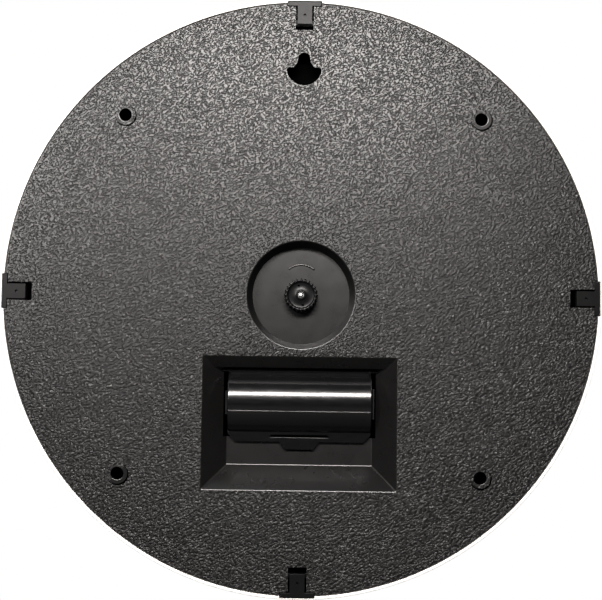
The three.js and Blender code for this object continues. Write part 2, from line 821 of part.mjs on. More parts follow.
function pivotPost(place) {
  const top = frameFloor - pivotPostHeight;
  const hole = disc(pivotRadius + GAP, top - 1, top + pivotDepth, place, PIN_SEGMENTS);
  return [disc(pivotPostRadius, top, frameFloor + 0.5, place, 16), hole];
}

function movementFrame() {
  const wallTop = coverFront + GAP;
  const ledge = movementHalf - 6;
  const ledgeTop = level(boardUp) + GAP;
  const inside = movementHalf - movementWall / 2;
  const posts = [third, second, rotorAxis].map(pivotPost);
  const tray = cut(
    slab(movementOutline(0), wallTop, movementFront),
    slab(movementOutline(movementWall), wallTop - OPEN, frameFloor),
  );
  return cut(
    joined(
      tray,
      ...posts.map(([post]) => post),
      box(-inside, -ledge, ledgeTop, frameFloor + 0.5, -inside, -ledge),
      box(ledge, inside, ledgeTop, frameFloor + 0.5, -inside, -ledge),
      disc(1.5, level(coreUp) + GAP, frameFloor + 0.5, [coilLeft + 2, coilZ], PIN_SEGMENTS),
      disc(motionStudRadius, level(motionWheelUp + 1.3), frameFloor + 0.5, motion, PIN_SEGMENTS),
    ),
    ...posts.map(([, hole]) => hole),
    disc(bushHole, frameFloor - 1, movementFront + OPEN),
    rod(leadRadius + 0.5, -(movementHalf + OPEN), -ledge - 2, leadDepth, leadZ, PIN_SEGMENTS),
    rod(leadRadius + 0.5, ledge + 2, movementHalf + OPEN, leadDepth, leadZ, PIN_SEGMENTS),
  );
}

function movementCover() {
  const postBottom = coverFront + 0.9;
  const arbors = [third, second, rotorAxis];
  return cut(
    joined(
      slab(movementOutline(0), coverBack, coverFront),
      ...arbors.map((place) => disc(pivotPostRadius, coverFront - 0.5, postBottom, place, 16)),
    ),
    ...arbors.map((place) => disc(pivotRadius + GAP, coverFront - 1, postBottom + OPEN, place, PIN_SEGMENTS)),
    disc(arborRadius + GAP, coverBack - OPEN, coverFront + OPEN),
  );
}

const pivotBack = coverFront - 0.7;
const pivotFront = frameFloor - pivotPostHeight + pivotDepth - GAP;
const pivots = (place) => disc(pivotRadius, pivotBack, pivotFront, place, PIN_SEGMENTS);

// A wheel or pinion whose lower face is at a height above the movement's floor.
function gear(teeth, module, phase, up, thickness, place) {
  return toothedDisc(teeth, module, phase, level(up + thickness), level(up), place);
}

const rotor = () =>
  joined(
    disc(magnetRadius, level(magnetUp + 2), level(magnetUp), rotorAxis),
    gear(pinionTeeth, goingModule, rotorAngle, rotorPinionUp, pinionLength, rotorAxis),
    pivots(rotorAxis),
  );

function secondWheel() {
  const phase = gapFacing(rotorAngle + Math.PI, secondTeeth);
  return joined(
    gear(secondTeeth, goingModule, phase, secondWheelUp, wheelThickness, second),
    gear(pinionTeeth, goingModule, secondAngle, secondPinionUp, pinionLength, second),
    pivots(second),
  );
}

function thirdWheel() {
  const phase = gapFacing(secondAngle + Math.PI, thirdTeeth);
  return joined(
    gear(thirdTeeth, goingModule, phase, thirdWheelUp, wheelThickness, third),
    gear(pinionTeeth, centreModule, thirdAngle, thirdPinionUp, pinionLength, third),
    pivots(third),
  );
}

function centreWheel() {
  const phase = gapFacing(thirdAngle + Math.PI, centreTeeth);
  return cut(
    gear(centreTeeth, centreModule, phase, centreWheelUp, wheelThickness, axis),
    disc(arborRadius + GAP, 0, clockDepth),
  );
}

const frictionWasher = () =>
  ring(3.4, arborRadius + GAP, level(frictionUp + 0.7), level(frictionUp), axis, BORE_SEGMENTS);

const minuteArbor = () =>
  joined(
    disc(arborRadius, knobRecess + 0.7, arborEnd),
    disc(2.6, level(collarUp + 1), level(collarUp)),
    gear(minuteTeeth, minuteModule, motionAngle, minutePinionUp, 1.6, axis),
  );

function motionWheel() {
  const phase = gapFacing(motionAngle, motionTeeth);
  const pinionToWheel = motionWheelUp - motionPinionUp + 0.1;
  return cut(
    joined(
      gear(motionTeeth, minuteModule, phase, motionWheelUp, wheelThickness, motion),
      gear(motionPinionTeeth, hourModule, motionAngle + Math.PI, motionPinionUp, pinionToWheel, motion),
    ),
    disc(motionStudRadius + GAP, 0, clockDepth, motion),
  );
}

function hourWheel() {
  const phase = gapFacing(motionAngle + Math.PI, hourTeeth);
  const pipeEnd = hourHandBack + handThickness + GAP;
  return cut(
    joined(
      gear(hourTeeth, hourModule, phase, hourWheelUp, wheelThickness, axis),
      disc(pipeOuter, level(hourWheelUp + wheelThickness), pipeEnd),
    ),
    disc(pipeInner, 0, clockDepth),
  );
}

// The stepping motor: a stator plate with two arms, joined behind the coil by its core.
const coilZ = -6;
const coilLeft = 4 - movementHalf;
const statorTop = rotorAxis[1] + 4.7;
const statorBottom = rotorAxis[1] - 4.7;
const statorRight = rotorAxis[0] + 5.8;
const armWidth = 4;

function stator() {
  const from = level(statorUp + 1.4);
  const to = level(statorUp);
  return cut(
    joined(
      box(coilLeft, statorRight, from, to, statorBottom, statorTop),
      box(coilLeft, coilLeft + armWidth, from, to, coilZ - 2, statorBottom + 1),
      box(statorRight - armWidth, statorRight, from, to, coilZ - 2, statorBottom + 1),
    ),
    disc(statorHoleRadius, from - 1, to + 1, rotorAxis),
  );
}

const coreDepth = level(coreUp + 1);
const coilCore = () =>
  box(coilLeft, statorRight, coreDepth - 1, coreDepth + 1, coilZ - 1.2, coilZ + 1.2);

function coil() {
  const left = coilLeft + armWidth + 0.5;
  const right = statorRight - armWidth - 0.5;
  const bore = box(left - 1, right + 1, coreDepth - 1.3, coreDepth + 1.3, coilZ - 1.5, coilZ + 1.5);
  return cut(
    joined(
      rod(3.4, left, right, coreDepth, coilZ),
      rod(3.7, left, left + 0.8, coreDepth, coilZ),
      rod(3.7, right - 0.8, right, coreDepth, coilZ),
    ),
    bore,
  );
}

const boardHalf = movementHalf - 3;
const boardTop = coilZ - 5.5;
const circuitBoard = () =>
  box(-boardHalf, boardHalf, level(boardUp + 1.2), level(boardUp), 2 - movementHalf, boardTop);
const crystalCan = () => rod(1, -12, -5, level(boardUp) + 1 + GAP, boardTop - 3.5, 16);
const clockChip = () =>
  box(3, 9, level(boardUp) + GAP, level(boardUp) + GAP + 1.5, 4 - movementHalf, 10 - movementHalf);

function centreBush() {
  const end = dialFront + GAP + nutThickness + 0.6;
  return cut(
    joined(
      disc(bushOuter + bushFlange, frameFloor - GAP - 0.9, frameFloor - GAP),
      disc(bushOuter, frameFloor - GAP - 0.5, end),
    ),
    disc(bushInner, 0, clockDepth),
  );
}

const rubberWasher = () =>
  ring(bushHole + washerWidth, bushHole, movementFront + GAP, caseDepth, axis, BORE_SEGMENTS);

function fixingNut() {
  const back = dialFront + GAP;
  const hexagon = disc(bushHole + nutWidth, back, back + nutThickness, axis, 6);
  return cut(hexagon, disc(bushHole, 0, clockDepth));
}

function settingKnob() {
  const points = [];
  const steps = knobScallops * 4;
  for (let step = 0; step < steps; step += 1) {
    const dip = 0.5 - 0.5 * Math.cos((2 * Math.PI * step) / 4);
    points.push(polar(axis, knobRadius - knobScallopDepth * dip, (2 * Math.PI * step) / steps));
  }
  const dishFloor = knobRecess + knobDish;
  const pinHole = (degrees) => {
    const place = polar(axis, knobPinHoleCircle, THREE.MathUtils.degToRad(degrees));
    return disc(knobPinHoleRadius, 0, dishFloor + 0.8, place, PIN_SEGMENTS);
  };
  return cut(
    joined(
      slab(outline(points), knobRecess, knobBottom),
      disc(knobStemRadius, knobBottom - 1, wellDepth + wellFloorThickness + 1.5),
    ),
    ring(knobRadius - knobLip, knobHubRadius, 0, dishFloor, axis, 36),
    disc(knobHubRadius + 0.1, 0, knobRecess + knobHubDrop),
    disc(arborRadius + GAP, 0, clockDepth),
    ...knobPinHoleAngles.map(pinHole),
  );
}

// ---- Looks and assembly ----
const plastic = (color, roughness = 0.6) =>
  new THREE.MeshStandardMaterial({ color, roughness, metalness: 0 });
const metal = (color, roughness = 0.35) =>
  new THREE.MeshStandardMaterial({ color, roughness, metalness: 1 });

const black = plastic(0x1c1c1d, 0.55);
const smoothBlack = plastic(0x151516, 0.3);
const white = plastic(0xf0efea, 0.3);
const steel = metal(0xc6c8cb);
const brass = metal(0xc9a64e);
const gearPlastic = plastic(0xe6e4dc, 0.5);

const clock = new THREE.Group();

function place(name, solid, material) {
  const mesh = new THREE.Mesh(geometryOf(solid), material.clone());
  mesh.name = name;
  clock.add(mesh);
  return mesh;
}

place("back_case", backCase(), black);
place("bezel_ring", bezelRing(), white);
place("lens_glass", lensGlass(), new THREE.MeshStandardMaterial({ color: 0xdfe9ea, roughness: 0.05 }));
place("spacer_ring", spacerRing(), white);
place("dial_carrier", dialCarrier(), plastic(0xdcdbd6));
place("dial_face", dialFace(), plastic(0xf7f6f1, 0.7));
["top", "right", "bottom", "left"].forEach((side, turn) => {
  place(`rim_clip_${side}`, rimClip(), smoothBlack).rotation.y = (turn * Math.PI) / 2;
});
bossPlaces.forEach((where, index) => place(`case_screw_${index + 1}`, caseScrew(where), steel));
place("battery_door", batteryDoor(), smoothBlack);
place("battery_cell", batteryCell(), plastic(0x6b6f73, 0.35));
place("contact_plate", contactPlate(), steel);
place("contact_spring", contactSpring(), steel);
place("lead_positive", lead(1), plastic(0xb3261e));
place("lead_negative", lead(-1), plastic(0x222222));
place("movement_frame", movementFrame(), plastic(0x2a2a2b));
place("movement_cover", movementCover(), plastic(0x2a2a2b));
place("circuit_board", circuitBoard(), plastic(0x2f6b3c));
place("crystal_can", crystalCan(), steel);
place("clock_chip", clockChip(), plastic(0x111111));
place("coil", coil(), metal(0xb8682e));
place("coil_core", coilCore(), steel);
place("stator", stator(), steel);
place("rotor", rotor(), gearPlastic);
place("second_wheel", secondWheel(), gearPlastic);
place("third_wheel", thirdWheel(), gearPlastic);
place("centre_wheel", centreWheel(), gearPlastic);
place("friction_washer", frictionWasher(), steel);
place("minute_arbor", minuteArbor(), steel);
place("motion_wheel", motionWheel(), gearPlastic);
place("hour_wheel", hourWheel(), gearPlastic);
place("centre_bush", centreBush(), brass);
place("rubber_washer", rubberWasher(), plastic(0x202020, 0.9));
place("fixing_nut", fixingNut(), brass);
place("hour_hand", hourHand(), plastic(0x101010));
place("minute_hand", minuteHand(), plastic(0x101010));
place("hand_cap", handCap(), plastic(0x101010));
place("setting_knob", settingKnob(), smoothBlack);

// The origin is the hang point: the clock hangs there on its wall screw.
clock.position.z = -hangHeight;
const part = new THREE.Group();
part.add(clock);

export default part;
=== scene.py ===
import json
import math

import bmesh
import bpy
from mathutils import Matrix, Vector


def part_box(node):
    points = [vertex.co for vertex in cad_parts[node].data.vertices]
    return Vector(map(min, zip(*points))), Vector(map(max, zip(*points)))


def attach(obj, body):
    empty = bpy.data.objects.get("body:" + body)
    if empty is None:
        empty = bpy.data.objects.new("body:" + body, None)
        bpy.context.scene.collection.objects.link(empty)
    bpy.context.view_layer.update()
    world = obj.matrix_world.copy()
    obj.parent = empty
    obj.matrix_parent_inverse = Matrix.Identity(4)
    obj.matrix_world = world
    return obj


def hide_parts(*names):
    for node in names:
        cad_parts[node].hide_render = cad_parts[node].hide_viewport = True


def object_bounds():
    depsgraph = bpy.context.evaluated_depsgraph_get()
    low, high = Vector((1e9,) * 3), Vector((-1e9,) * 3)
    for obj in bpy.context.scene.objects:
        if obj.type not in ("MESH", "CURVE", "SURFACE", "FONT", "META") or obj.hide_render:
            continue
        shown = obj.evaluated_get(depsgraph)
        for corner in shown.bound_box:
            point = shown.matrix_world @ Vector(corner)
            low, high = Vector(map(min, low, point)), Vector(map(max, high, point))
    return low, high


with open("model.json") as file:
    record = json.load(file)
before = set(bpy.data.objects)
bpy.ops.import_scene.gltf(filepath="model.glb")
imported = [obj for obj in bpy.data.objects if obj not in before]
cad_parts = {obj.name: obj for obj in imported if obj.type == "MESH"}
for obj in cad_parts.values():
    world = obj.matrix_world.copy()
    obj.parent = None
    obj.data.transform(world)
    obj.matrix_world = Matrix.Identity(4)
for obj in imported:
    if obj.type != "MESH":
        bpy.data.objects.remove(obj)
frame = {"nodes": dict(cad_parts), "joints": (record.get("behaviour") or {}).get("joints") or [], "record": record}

# The clock hangs or stands with its back towards +Y. Pieces are laid out in millimetres about the
# axis of the hands: x, depth from the back plane towards the dial (-Y), and z.
MM = 0.001
cad_low, cad_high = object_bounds()
JOINTS = {joint["name"]: joint for joint in frame["joints"]}
AXIS_Z = JOINTS["minute_spin"]["pos_m"][2]
HINGE = JOINTS["door_hinge"]["pos_m"]
HINGE_DEPTH = -HINGE[1] / MM
HINGE_Z = (HINGE[2] - AXIS_Z) / MM
FINE = 192  # segments of the large circles
MEDIUM = 96
SMALL = 40


def point(x, depth, z):
    return Vector((x * MM, -depth * MM, z * MM + AXIS_Z))


def shaded(name):
    """A new node material, with its nodes, links and shader."""
    made = bpy.data.materials.new(name)
    made.use_nodes = True
    nodes, links = made.node_tree.nodes, made.node_tree.links
    return made, nodes, links, nodes["Principled BSDF"]


# ---- Camera, floor and light ----
TARGET = Vector((0, 0, AXIS_Z - 0.0022))
CAMERA_DISTANCE = 0.506
CAMERA_DROP = math.radians(3.8)
CAMERA_ROLL = math.radians(0.8)


def make_camera():
    data = bpy.data.cameras.new("camera")
    data.lens, data.sensor_width = 72, 36
    camera = bpy.data.objects.new("camera", data)
    bpy.context.scene.collection.objects.link(camera)
    away = Vector((0, math.cos(CAMERA_DROP), -math.sin(CAMERA_DROP)))
    camera.location = TARGET + away * CAMERA_DISTANCE
    roll = Matrix.Rotation(CAMERA_ROLL, 4, "Z").to_quaternion()
    camera.rotation_mode = "QUATERNION"
    camera.rotation_quaternion = (-away).to_track_quat("-Z", "Y") @ roll
    bpy.context.scene.camera = camera


def softbox(name, azimuth, elevation, distance, width, height, power, colour=(1, 1, 1)):
    """A rectangular light that faces the clock; azimuth 0 is straight behind it (+Y), 90 is +X."""
    data = bpy.data.lights.new(name, "AREA")
    data.shape, data.size, data.size_y = "RECTANGLE", width, height
    data.energy, data.color = power, colour
    lamp = bpy.data.objects.new(name, data)
    bpy.context.scene.collection.objects.link(lamp)
    a, e = math.radians(azimuth), math.radians(elevation)
    away = Vector((math.sin(a) * math.cos(e), math.cos(a) * math.cos(e), math.sin(e)))
    lamp.location = Vector((0, 0, AXIS_Z)) + away * distance
    lamp.rotation_mode = "QUATERNION"
    lamp.rotation_quaternion = (-away).to_track_quat("-Z", "Y")


def make_world():
    """White to the camera, dim for everything that it lights."""
    world = bpy.data.worlds.new("studio")
    bpy.context.scene.world = world
    world.use_nodes = True
    nodes, links = world.node_tree.nodes, world.node_tree.links
    nodes.clear()
    seen, fill = nodes.new("ShaderNodeBackground"), nodes.new("ShaderNodeBackground")
    seen.inputs["Color"].default_value = (1, 1, 1, 1)
    fill.inputs["Color"].default_value = (0.9, 0.95, 1, 1)
    fill.inputs["Strength"].default_value = 0.02
    path, mix = nodes.new("ShaderNodeLightPath"), nodes.new("ShaderNodeMixShader")
    output = nodes.new("ShaderNodeOutputWorld")
    links.new(path.outputs["Is Camera Ray"], mix.inputs[0])
    links.new(fill.outputs[0], mix.inputs[1])
    links.new(seen.outputs[0], mix.inputs[2])
    links.new(mix.outputs[0], output.inputs[0])


def make_floor():
    """White to the camera, and dark to the light that it would bounce back to the clock."""
    white, nodes, links, shader = shaded("floor_white")
    shader.inputs["Base Color"].default_value = (0.02, 0.02, 0.02, 1)
    shader.inputs["Roughness"].default_value = 0.8
    glow, mix = nodes.new("ShaderNodeEmission"), nodes.new("ShaderNodeMixShader")
    path = nodes.new("ShaderNodeLightPath")
    glow.inputs["Strength"].default_value = 1.0
    links.new(path.outputs["Is Camera Ray"], mix.inputs[0])
    links.new(shader.outputs[0], mix.inputs[1])
    links.new(glow.outputs[0], mix.inputs[2])
    links.new(mix.outputs[0], nodes["Material Output"].inputs["Surface"])
    mesh = bpy.data.meshes.new("floor")
    reach, z = 3, cad_low.z
    corners = [(-reach, -reach, z), (reach, -reach, z), (reach, reach, z), (-reach, reach, z)]
    mesh.from_pydata(corners, [], [(0, 1, 2, 3)])
    mesh.materials.append(white)
    floor = bpy.data.objects.new("floor", mesh)
    bpy.context.scene.collection.objects.link(floor)


make_camera()
make_world()
make_floor()
softbox("key", 1, 28, 0.49, 0.28, 0.05, 5.3, (1, 0.955, 0.925))
softbox("side", 35, 17, 0.48, 0.08, 0.14, 1.8, (1, 0.965, 0.94))
softbox("front", -165, 30, 1.2, 0.9, 0.9, 16)
softbox("overhead", 160, 75, 1.3, 0.8, 0.8, 5)
bpy.context.scene.view_settings.view_transform = "Standard"


# ---- Materials ----
RECORD_COLOUR = {m["slot"]: m["base_color"][:3] for m in frame["record"]["materials"]}


def tinted(colour, factor):
    return tuple(min(1, c * factor) for c in colour) + (1,)


def material(slot, colour=None, roughness=0.4, metallic=0.0, tone=0.15, spread=0.06, scale=180,
             bump_scale=1500, bump=0.08, stretch=(1, 1, 1), name=None, **direct):
    """A finish from noise: two near tones, varied roughness and a fine surface."""
    colour = colour or RECORD_COLOUR[slot]
    made, nodes, links, shader = shaded(name or slot)
    place, mapping = nodes.new("ShaderNodeTexCoord"), nodes.new("ShaderNodeMapping")
    mapping.inputs["Scale"].default_value = stretch
    links.new(place.outputs["Object"], mapping.inputs["Vector"])
    cloud = nodes.new("ShaderNodeTexNoise")
    cloud.inputs["Scale"].default_value = scale
    cloud.inputs["Detail"].default_value = 4
    links.new(mapping.outputs[0], cloud.inputs["Vector"])
    mix = nodes.new("ShaderNodeMix")
    mix.data_type = "RGBA"
    mix.inputs[6].default_value = tinted(colour, 1 - tone)
    mix.inputs[7].default_value = tinted(colour, 1 + tone)
    links.new(cloud.outputs["Fac"], mix.inputs[0])
    links.new(mix.outputs[2], shader.inputs["Base Color"])
    rough = nodes.new("ShaderNodeMapRange")
    rough.inputs["From Min"].default_value, rough.inputs["From Max"].default_value = 0.3, 0.7
    rough.inputs["To Min"].default_value = roughness - spread
    rough.inputs["To Max"].default_value = roughness + spread
    links.new(cloud.outputs["Fac"], rough.inputs["Value"])
    links.new(rough.outputs[0], shader.inputs["Roughness"])
    shader.inputs["Metallic"].default_value = metallic
    fine = nodes.new("ShaderNodeTexNoise")
    fine.inputs["Scale"].default_value = bump_scale
    fine.inputs["Detail"].default_value = 3
    links.new(mapping.outputs[0], fine.inputs["Vector"])
    relief = nodes.new("ShaderNodeBump")
    relief.inputs["Strength"].default_value = bump
    relief.inputs["Distance"].default_value = 0.0002
    links.new(fine.outputs["Fac"], relief.inputs["Height"])
    links.new(relief.outputs[0], shader.inputs["Normal"])
    for socket, value in direct.items():
        shader.inputs[socket.replace("_", " ")].default_value = value
    return made


GRAIN_PITCH = 1 / 1150  # metres from ridge to ridge
GRAIN_HEIGHT = 0.0003
GRAIN_LEAN = math.radians(-55)
GRAIN_STRETCH = 1.6
GRAIN_SWAY = 0.0012  # how far a ridge winds


def grained(slot):
    """Moulded leather grain: short leaning ridges that wind; the valleys between the crests are painted darker as
    painted shade.
    """
    made, nodes, links, shader = shaded(slot)
    place = nodes.new("ShaderNodeTexCoord")
    warp = nodes.new("ShaderNodeTexNoise")
    warp.inputs["Scale"].default_value = 620
    warp.inputs["Detail"].default_value = 1
    links.new(place.outputs["Object"], warp.inputs["Vector"])
    centred = nodes.new("ShaderNodeVectorMath")
    centred.operation = "SUBTRACT"
    centred.inputs[1].default_value = (0.5, 0.5, 0.5)
    links.new(warp.outputs["Color"], centred.inputs[0])
    sway = nodes.new("ShaderNodeVectorMath")
    sway.operation = "SCALE"
    sway.inputs["Scale"].default_value = GRAIN_SWAY
    links.new(centred.outputs[0], sway.inputs[0])
    moved = nodes.new("ShaderNodeVectorMath")
    links.new(place.outputs["Object"], moved.inputs[0])
    links.new(sway.outputs[0], moved.inputs[1])
    leaning = nodes.new("ShaderNodeMapping")
    leaning.vector_type = "TEXTURE"
    leaning.inputs["Rotation"].default_value = (0, GRAIN_LEAN, 0)
    leaning.inputs["Scale"].default_value = (1, 1, GRAIN_STRETCH)
    links.new(moved.outputs[0], leaning.inputs["Vector"])
    ridges = nodes.new("ShaderNodeTexNoise")
    ridges.inputs["Scale"].default_value = 1 / GRAIN_PITCH
    ridges.inputs["Detail"].default_value = 1.5
    ridges.inputs["Roughness"].default_value = 0.45
    links.new(leaning.outputs[0], ridges.inputs["Vector"])
    crest = nodes.new("ShaderNodeMapRange")
    crest.interpolation_type = "SMOOTHSTEP"
    crest.inputs["From Min"].default_value, crest.inputs["From Max"].default_value = 0.36, 0.58
    links.new(ridges.outputs["Fac"], crest.inputs["Value"])
    relief = nodes.new("ShaderNodeBump")
    relief.inputs["Strength"].default_value = 1
    relief.inputs["Distance"].default_value = GRAIN_HEIGHT
    links.new(crest.outputs[0], relief.inputs["Height"])
    links.new(relief.outputs[0], shader.inputs["Normal"])
    # Painted shade: the valleys get a far darker base colour than the crests, standing in for the shade in the
    # grain's creases.
    tone = nodes.new("ShaderNodeMix")
    tone.data_type = "RGBA"
    tone.inputs[6].default_value = (0.0004, 0.0004, 0.0004, 1)
    tone.inputs[7].default_value = (0.0045, 0.0042, 0.0041, 1)
    links.new(crest.outputs[0], tone.inputs[0])
    links.new(tone.outputs[2], shader.inputs["Base Color"])
    rough = nodes.new("ShaderNodeMapRange")
    rough.inputs["To Min"].default_value, rough.inputs["To Max"].default_value = 0.38, 0.4
    links.new(crest.outputs[0], rough.inputs["Value"])
    links.new(rough.outputs[0], shader.inputs["Roughness"])
    shader.inputs["Specular IOR Level"].default_value = 0.5
    return made


FINISH = {
    "case_black": grained("case_black"),
    "smooth_black": material("smooth_black", (0.004, 0.0038, 0.0038), 0.28, spread=0.012, bump=0.015,
                             Specular_IOR_Level=0.6),
    "knob_black": material("smooth_black", (0.003, 0.003, 0.0032), 0.3, spread=0.02, bump=0.03,
                           name="knob_black", Specular_IOR_Level=0.13),
    "clip_black": material("smooth_black", (0.003, 0.003, 0.0031), 0.4, spread=0.02, bump=0.03,
                           name="clip_black", Specular_IOR_Level=0.13),
    "wall_black": material("smooth_black", (0.003, 0.003, 0.003), 0.42, spread=0.02, bump=0.03,
                           name="wall_black", Specular_IOR_Level=0.17),
    "door_black": material("door_black", (0.003, 0.003, 0.0032), 0.17, spread=0.02, bump=0.02,
                           bump_scale=900, stretch=(1, 1, 6), Specular_IOR_Level=0.5),
    # Painted shade: bright plated contacts darkened to stand in for the shade inside the battery bay.
    "shade_darkened_steel": material("steel", (0.03, 0.03, 0.031), 0.5, 1.0, tone=0.06, name="shade_darkened_steel"),
    # Painted shade: a darker, unreflecting copy of the case black for holes, pockets, grooves and the inside.
    "shade_painted_black": material("case_black", (0.0008, 0.0008, 0.0008), 0.8, name="shade_painted_black",
                             Specular_IOR_Level=0.0),
    "rim_white": material("rim_white", roughness=0.3, tone=0.03, bump=0.02),
    "carrier_grey": material("carrier_grey", roughness=0.5, tone=0.05),
    "dial_white": material("dial_white", roughness=0.7, tone=0.02, scale=900, bump=0.03),
    "steel": material("steel", (0.7, 0.7, 0.71), 0.28, 1.0, tone=0.06, stretch=(1, 1, 8)),
    "brass": material("brass", (0.78, 0.56, 0.24), 0.3, 1.0, tone=0.08, stretch=(1, 6, 1)),
    "cell_sleeve": material("cell_sleeve", (0.1, 0.12, 0.15), 0.3, 0.4, tone=0.1, stretch=(8, 1, 1)),
    "lead_red": material("lead_red", roughness=0.45),
    "lead_black": material("lead_black", roughness=0.45),
    "movement_black": material("movement_black", (0.02, 0.02, 0.02), 0.45, bump=0.2),
    "board_green": material("board_green", roughness=0.35, tone=0.3, scale=420),
    "coil_copper": material("coil_copper", (0.72, 0.3, 0.12), 0.32, 0.9, tone=0.2, bump=0.5,
                            bump_scale=2600, stretch=(3, 0.2, 0.2)),
    "gear_plastic": material("gear_plastic", roughness=0.45, tone=0.05),
    "washer_rubber": material("washer_rubber", roughness=0.8, bump=0.3),
    "hand_black": material("hand_black", roughness=0.3),
    "lens_clear": material("lens_clear", (0.97, 0.99, 0.99), 0.02, tone=0.01, spread=0.01, bump=0.0,
                           Transmission_Weight=1.0, IOR=1.49),
}


# ---- Mesh building ----
def show(mesh, name):
    made = bpy.data.objects.new(name, mesh)
    bpy.context.scene.collection.objects.link(made)
    return made


def mesh_of(name, corners, faces):
    """A closed mesh from x, depth, z corners, with its faces turned outwards."""
    mesh = bpy.data.meshes.new(name)
    mesh.from_pydata([point(*corner) for corner in corners], [], faces)
    work = bmesh.new()
    work.from_mesh(mesh)
    bmesh.ops.remove_doubles(work, verts=work.verts, dist=1e-7)
    bmesh.ops.recalc_face_normals(work, faces=work.faces)
    work.to_mesh(mesh)
    work.free()
    return show(mesh, name)


def loft(name, rings, closed=False):
    """Quads between rings of as many points; the ends are capped, or joined if the loft is closed."""
    count = len(rings[0])
    corners = [corner for ring in rings for corner in ring]
    faces = []
    spans = len(rings) if closed else len(rings) - 1
    for level in range(spans):
        low, high = level * count, (level + 1) % len(rings) * count
        for k in range(count):
            after = (k + 1) % count
            faces.append((low + k, low + after, high + after, high + k))
    if not closed:
        faces.append(tuple(range(count)))
        faces.append(tuple((len(rings) - 1) * count + k for k in range(count)))
    return mesh_of(name, corners, faces)


def turned(name, profile, segments=MEDIUM, centre=(0, 0), scallop=None):
    """A [radius, depth] profile turned about the depth axis. The profile starts and ends on the axis,
    or closes on itself. scallop(radius, weight, angle) may change the radius."""
    on_axis = profile[0][0] < 1e-6
    corners, rings = [], []
    for radius, depth, *weight in profile:
        if radius < 1e-6:
            rings.append([len(corners)])
            corners.append((centre[0], depth, centre[1]))
            continue
        ring = []
        for k in range(segments):
            angle = 2 * math.pi * k / segments
            r = scallop(radius, weight[0] if weight else 0, angle) if scallop else radius
            ring.append(len(corners))
            corners.append((centre[0] + r * math.cos(angle), depth, centre[1] + r * math.sin(angle)))
        rings.append(ring)
    faces = []
    pairs = list(zip(rings, rings[1:])) + ([] if on_axis else [(rings[-1], rings[0])])
    for low, high in pairs:
        for k in range(segments):
            after = (k + 1) % segments
            if len(low) == 1:
                faces.append((low[0], high[after], high[k]))
            elif len(high) == 1:
                faces.append((low[k], low[after], high[0]))
            else:
                faces.append((low[k], low[after], high[after], high[k]))
    return mesh_of(name, corners, faces)


def arc(radius, start, end, steps, centre=(0, 0)):
    return [(centre[0] + radius * math.cos(math.radians(start + (end - start) * k / steps)),
             centre[1] + radius * math.sin(math.radians(start + (end - start) * k / steps)))
            for k in range(steps + 1)]


def circle(radius, segments=SMALL, centre=(0, 0)):
    return arc(radius, 0, 360 * (segments - 1) / segments, segments - 1, centre)


def soft_corners(corners, radius, steps=4):
    """A polygon, counter-clockwise, with its corners rounded."""
    made = []
    for k, corner in enumerate(corners):
        here = Vector(corner)
        back = (Vector(corners[k - 1]) - here).normalized()
        ahead = (Vector(corners[(k + 1) % len(corners)]) - here).normalized()
        half = math.acos(max(-1, min(1, back.dot(ahead)))) / 2
        run = radius / math.tan(half)
        centre = here + (back + ahead).normalized() * (radius / math.sin(half))
        first, last = here + back * run - centre, here + ahead * run - centre
        start = math.atan2(first.y, first.x)
        turn = (math.atan2(last.y, last.x) - start + math.pi) % (2 * math.pi) - math.pi
        for step in range(steps + 1):
            angle = start + turn * step / steps
            made.append((centre.x + radius * math.cos(angle), centre.y + radius * math.sin(angle)))
    return made


def rectangle(x0, x1, z0, z1, radius=0.0, steps=4):
    corners = [(x0, z0), (x1, z0), (x1, z1), (x0, z1)]
    return soft_corners(corners, radius, steps) if radius else corners


def grown(outline, distance):
    """A counter-clockwise outline moved outwards along its own normals."""
    made = []
    count = len(outline)
    for k in range(count):
        before, here, after = (Vector(outline[(k + d) % count]) for d in (-1, 0, 1))
        a, b = (here - before).normalized(), (after - here).normalized()
        normal = Vector((a.y + b.y, -a.x - b.x)).normalized()
        lean = max(0.5, normal.dot(Vector((a.y, -a.x))))
        made.append(tuple(here + normal * (distance / lean)))
    return made


def rounding(radius, steps=3):
    """[inset, depth] along a quarter round, from the face to the side."""
    return [(radius - radius * math.sin(math.radians(90 * k / steps)),
             radius - radius * math.cos(math.radians(90 * k / steps))) for k in range(steps + 1)]


def plate(name, outline, back, front, soft=0.3, soft_front=None):
    """An outline as a solid between two depths, with rounded edges."""
    soft_front = soft if soft_front is None else soft_front
    levels = [(-inset, back + d) for inset, d in rounding(soft)] if soft else [(0, back)]
    ends = [(-inset, front - d) for inset, d in rounding(soft_front)] if soft_front else [(0, front)]
    levels += ends[::-1]
    return loft(name, [[(x, depth, z) for x, z in grown(outline, grow)] for grow, depth in levels])


def opening(name, outline, bottom, soft=0.3, start=-2.0, face=0.0):
    """A cutter for a hole with a rounded mouth at the face, down to a depth."""
    levels = [(soft, start)] + [(inset, face + d) for inset, d in rounding(soft)] + [(0, bottom)]
    return loft(name, [[(x, depth, z) for x, z in grown(outline, grow)] for grow, depth in levels])


def block(name, x0, x1, back, front, z0, z1, soft=0.0):
    return plate(name, rectangle(x0, x1, z0, z1, 1.6 * soft), back, front, soft)


def bar(name, radius, x0, x1, depth, z, segments=SMALL, soft=0.0):
    """A round bar along X with rounded ends."""
    levels = [(inset, x0 + d) for inset, d in rounding(soft)] if soft else [(0, x0)]
    ends = [(inset, x1 - d) for inset, d in rounding(soft)] if soft else [(0, x1)]
    rings = []
    for inset, x in levels + ends[::-1]:
        rings.append([(x, depth + v, z + u) for u, v in circle(radius - inset, segments)])
    return loft(name, rings)


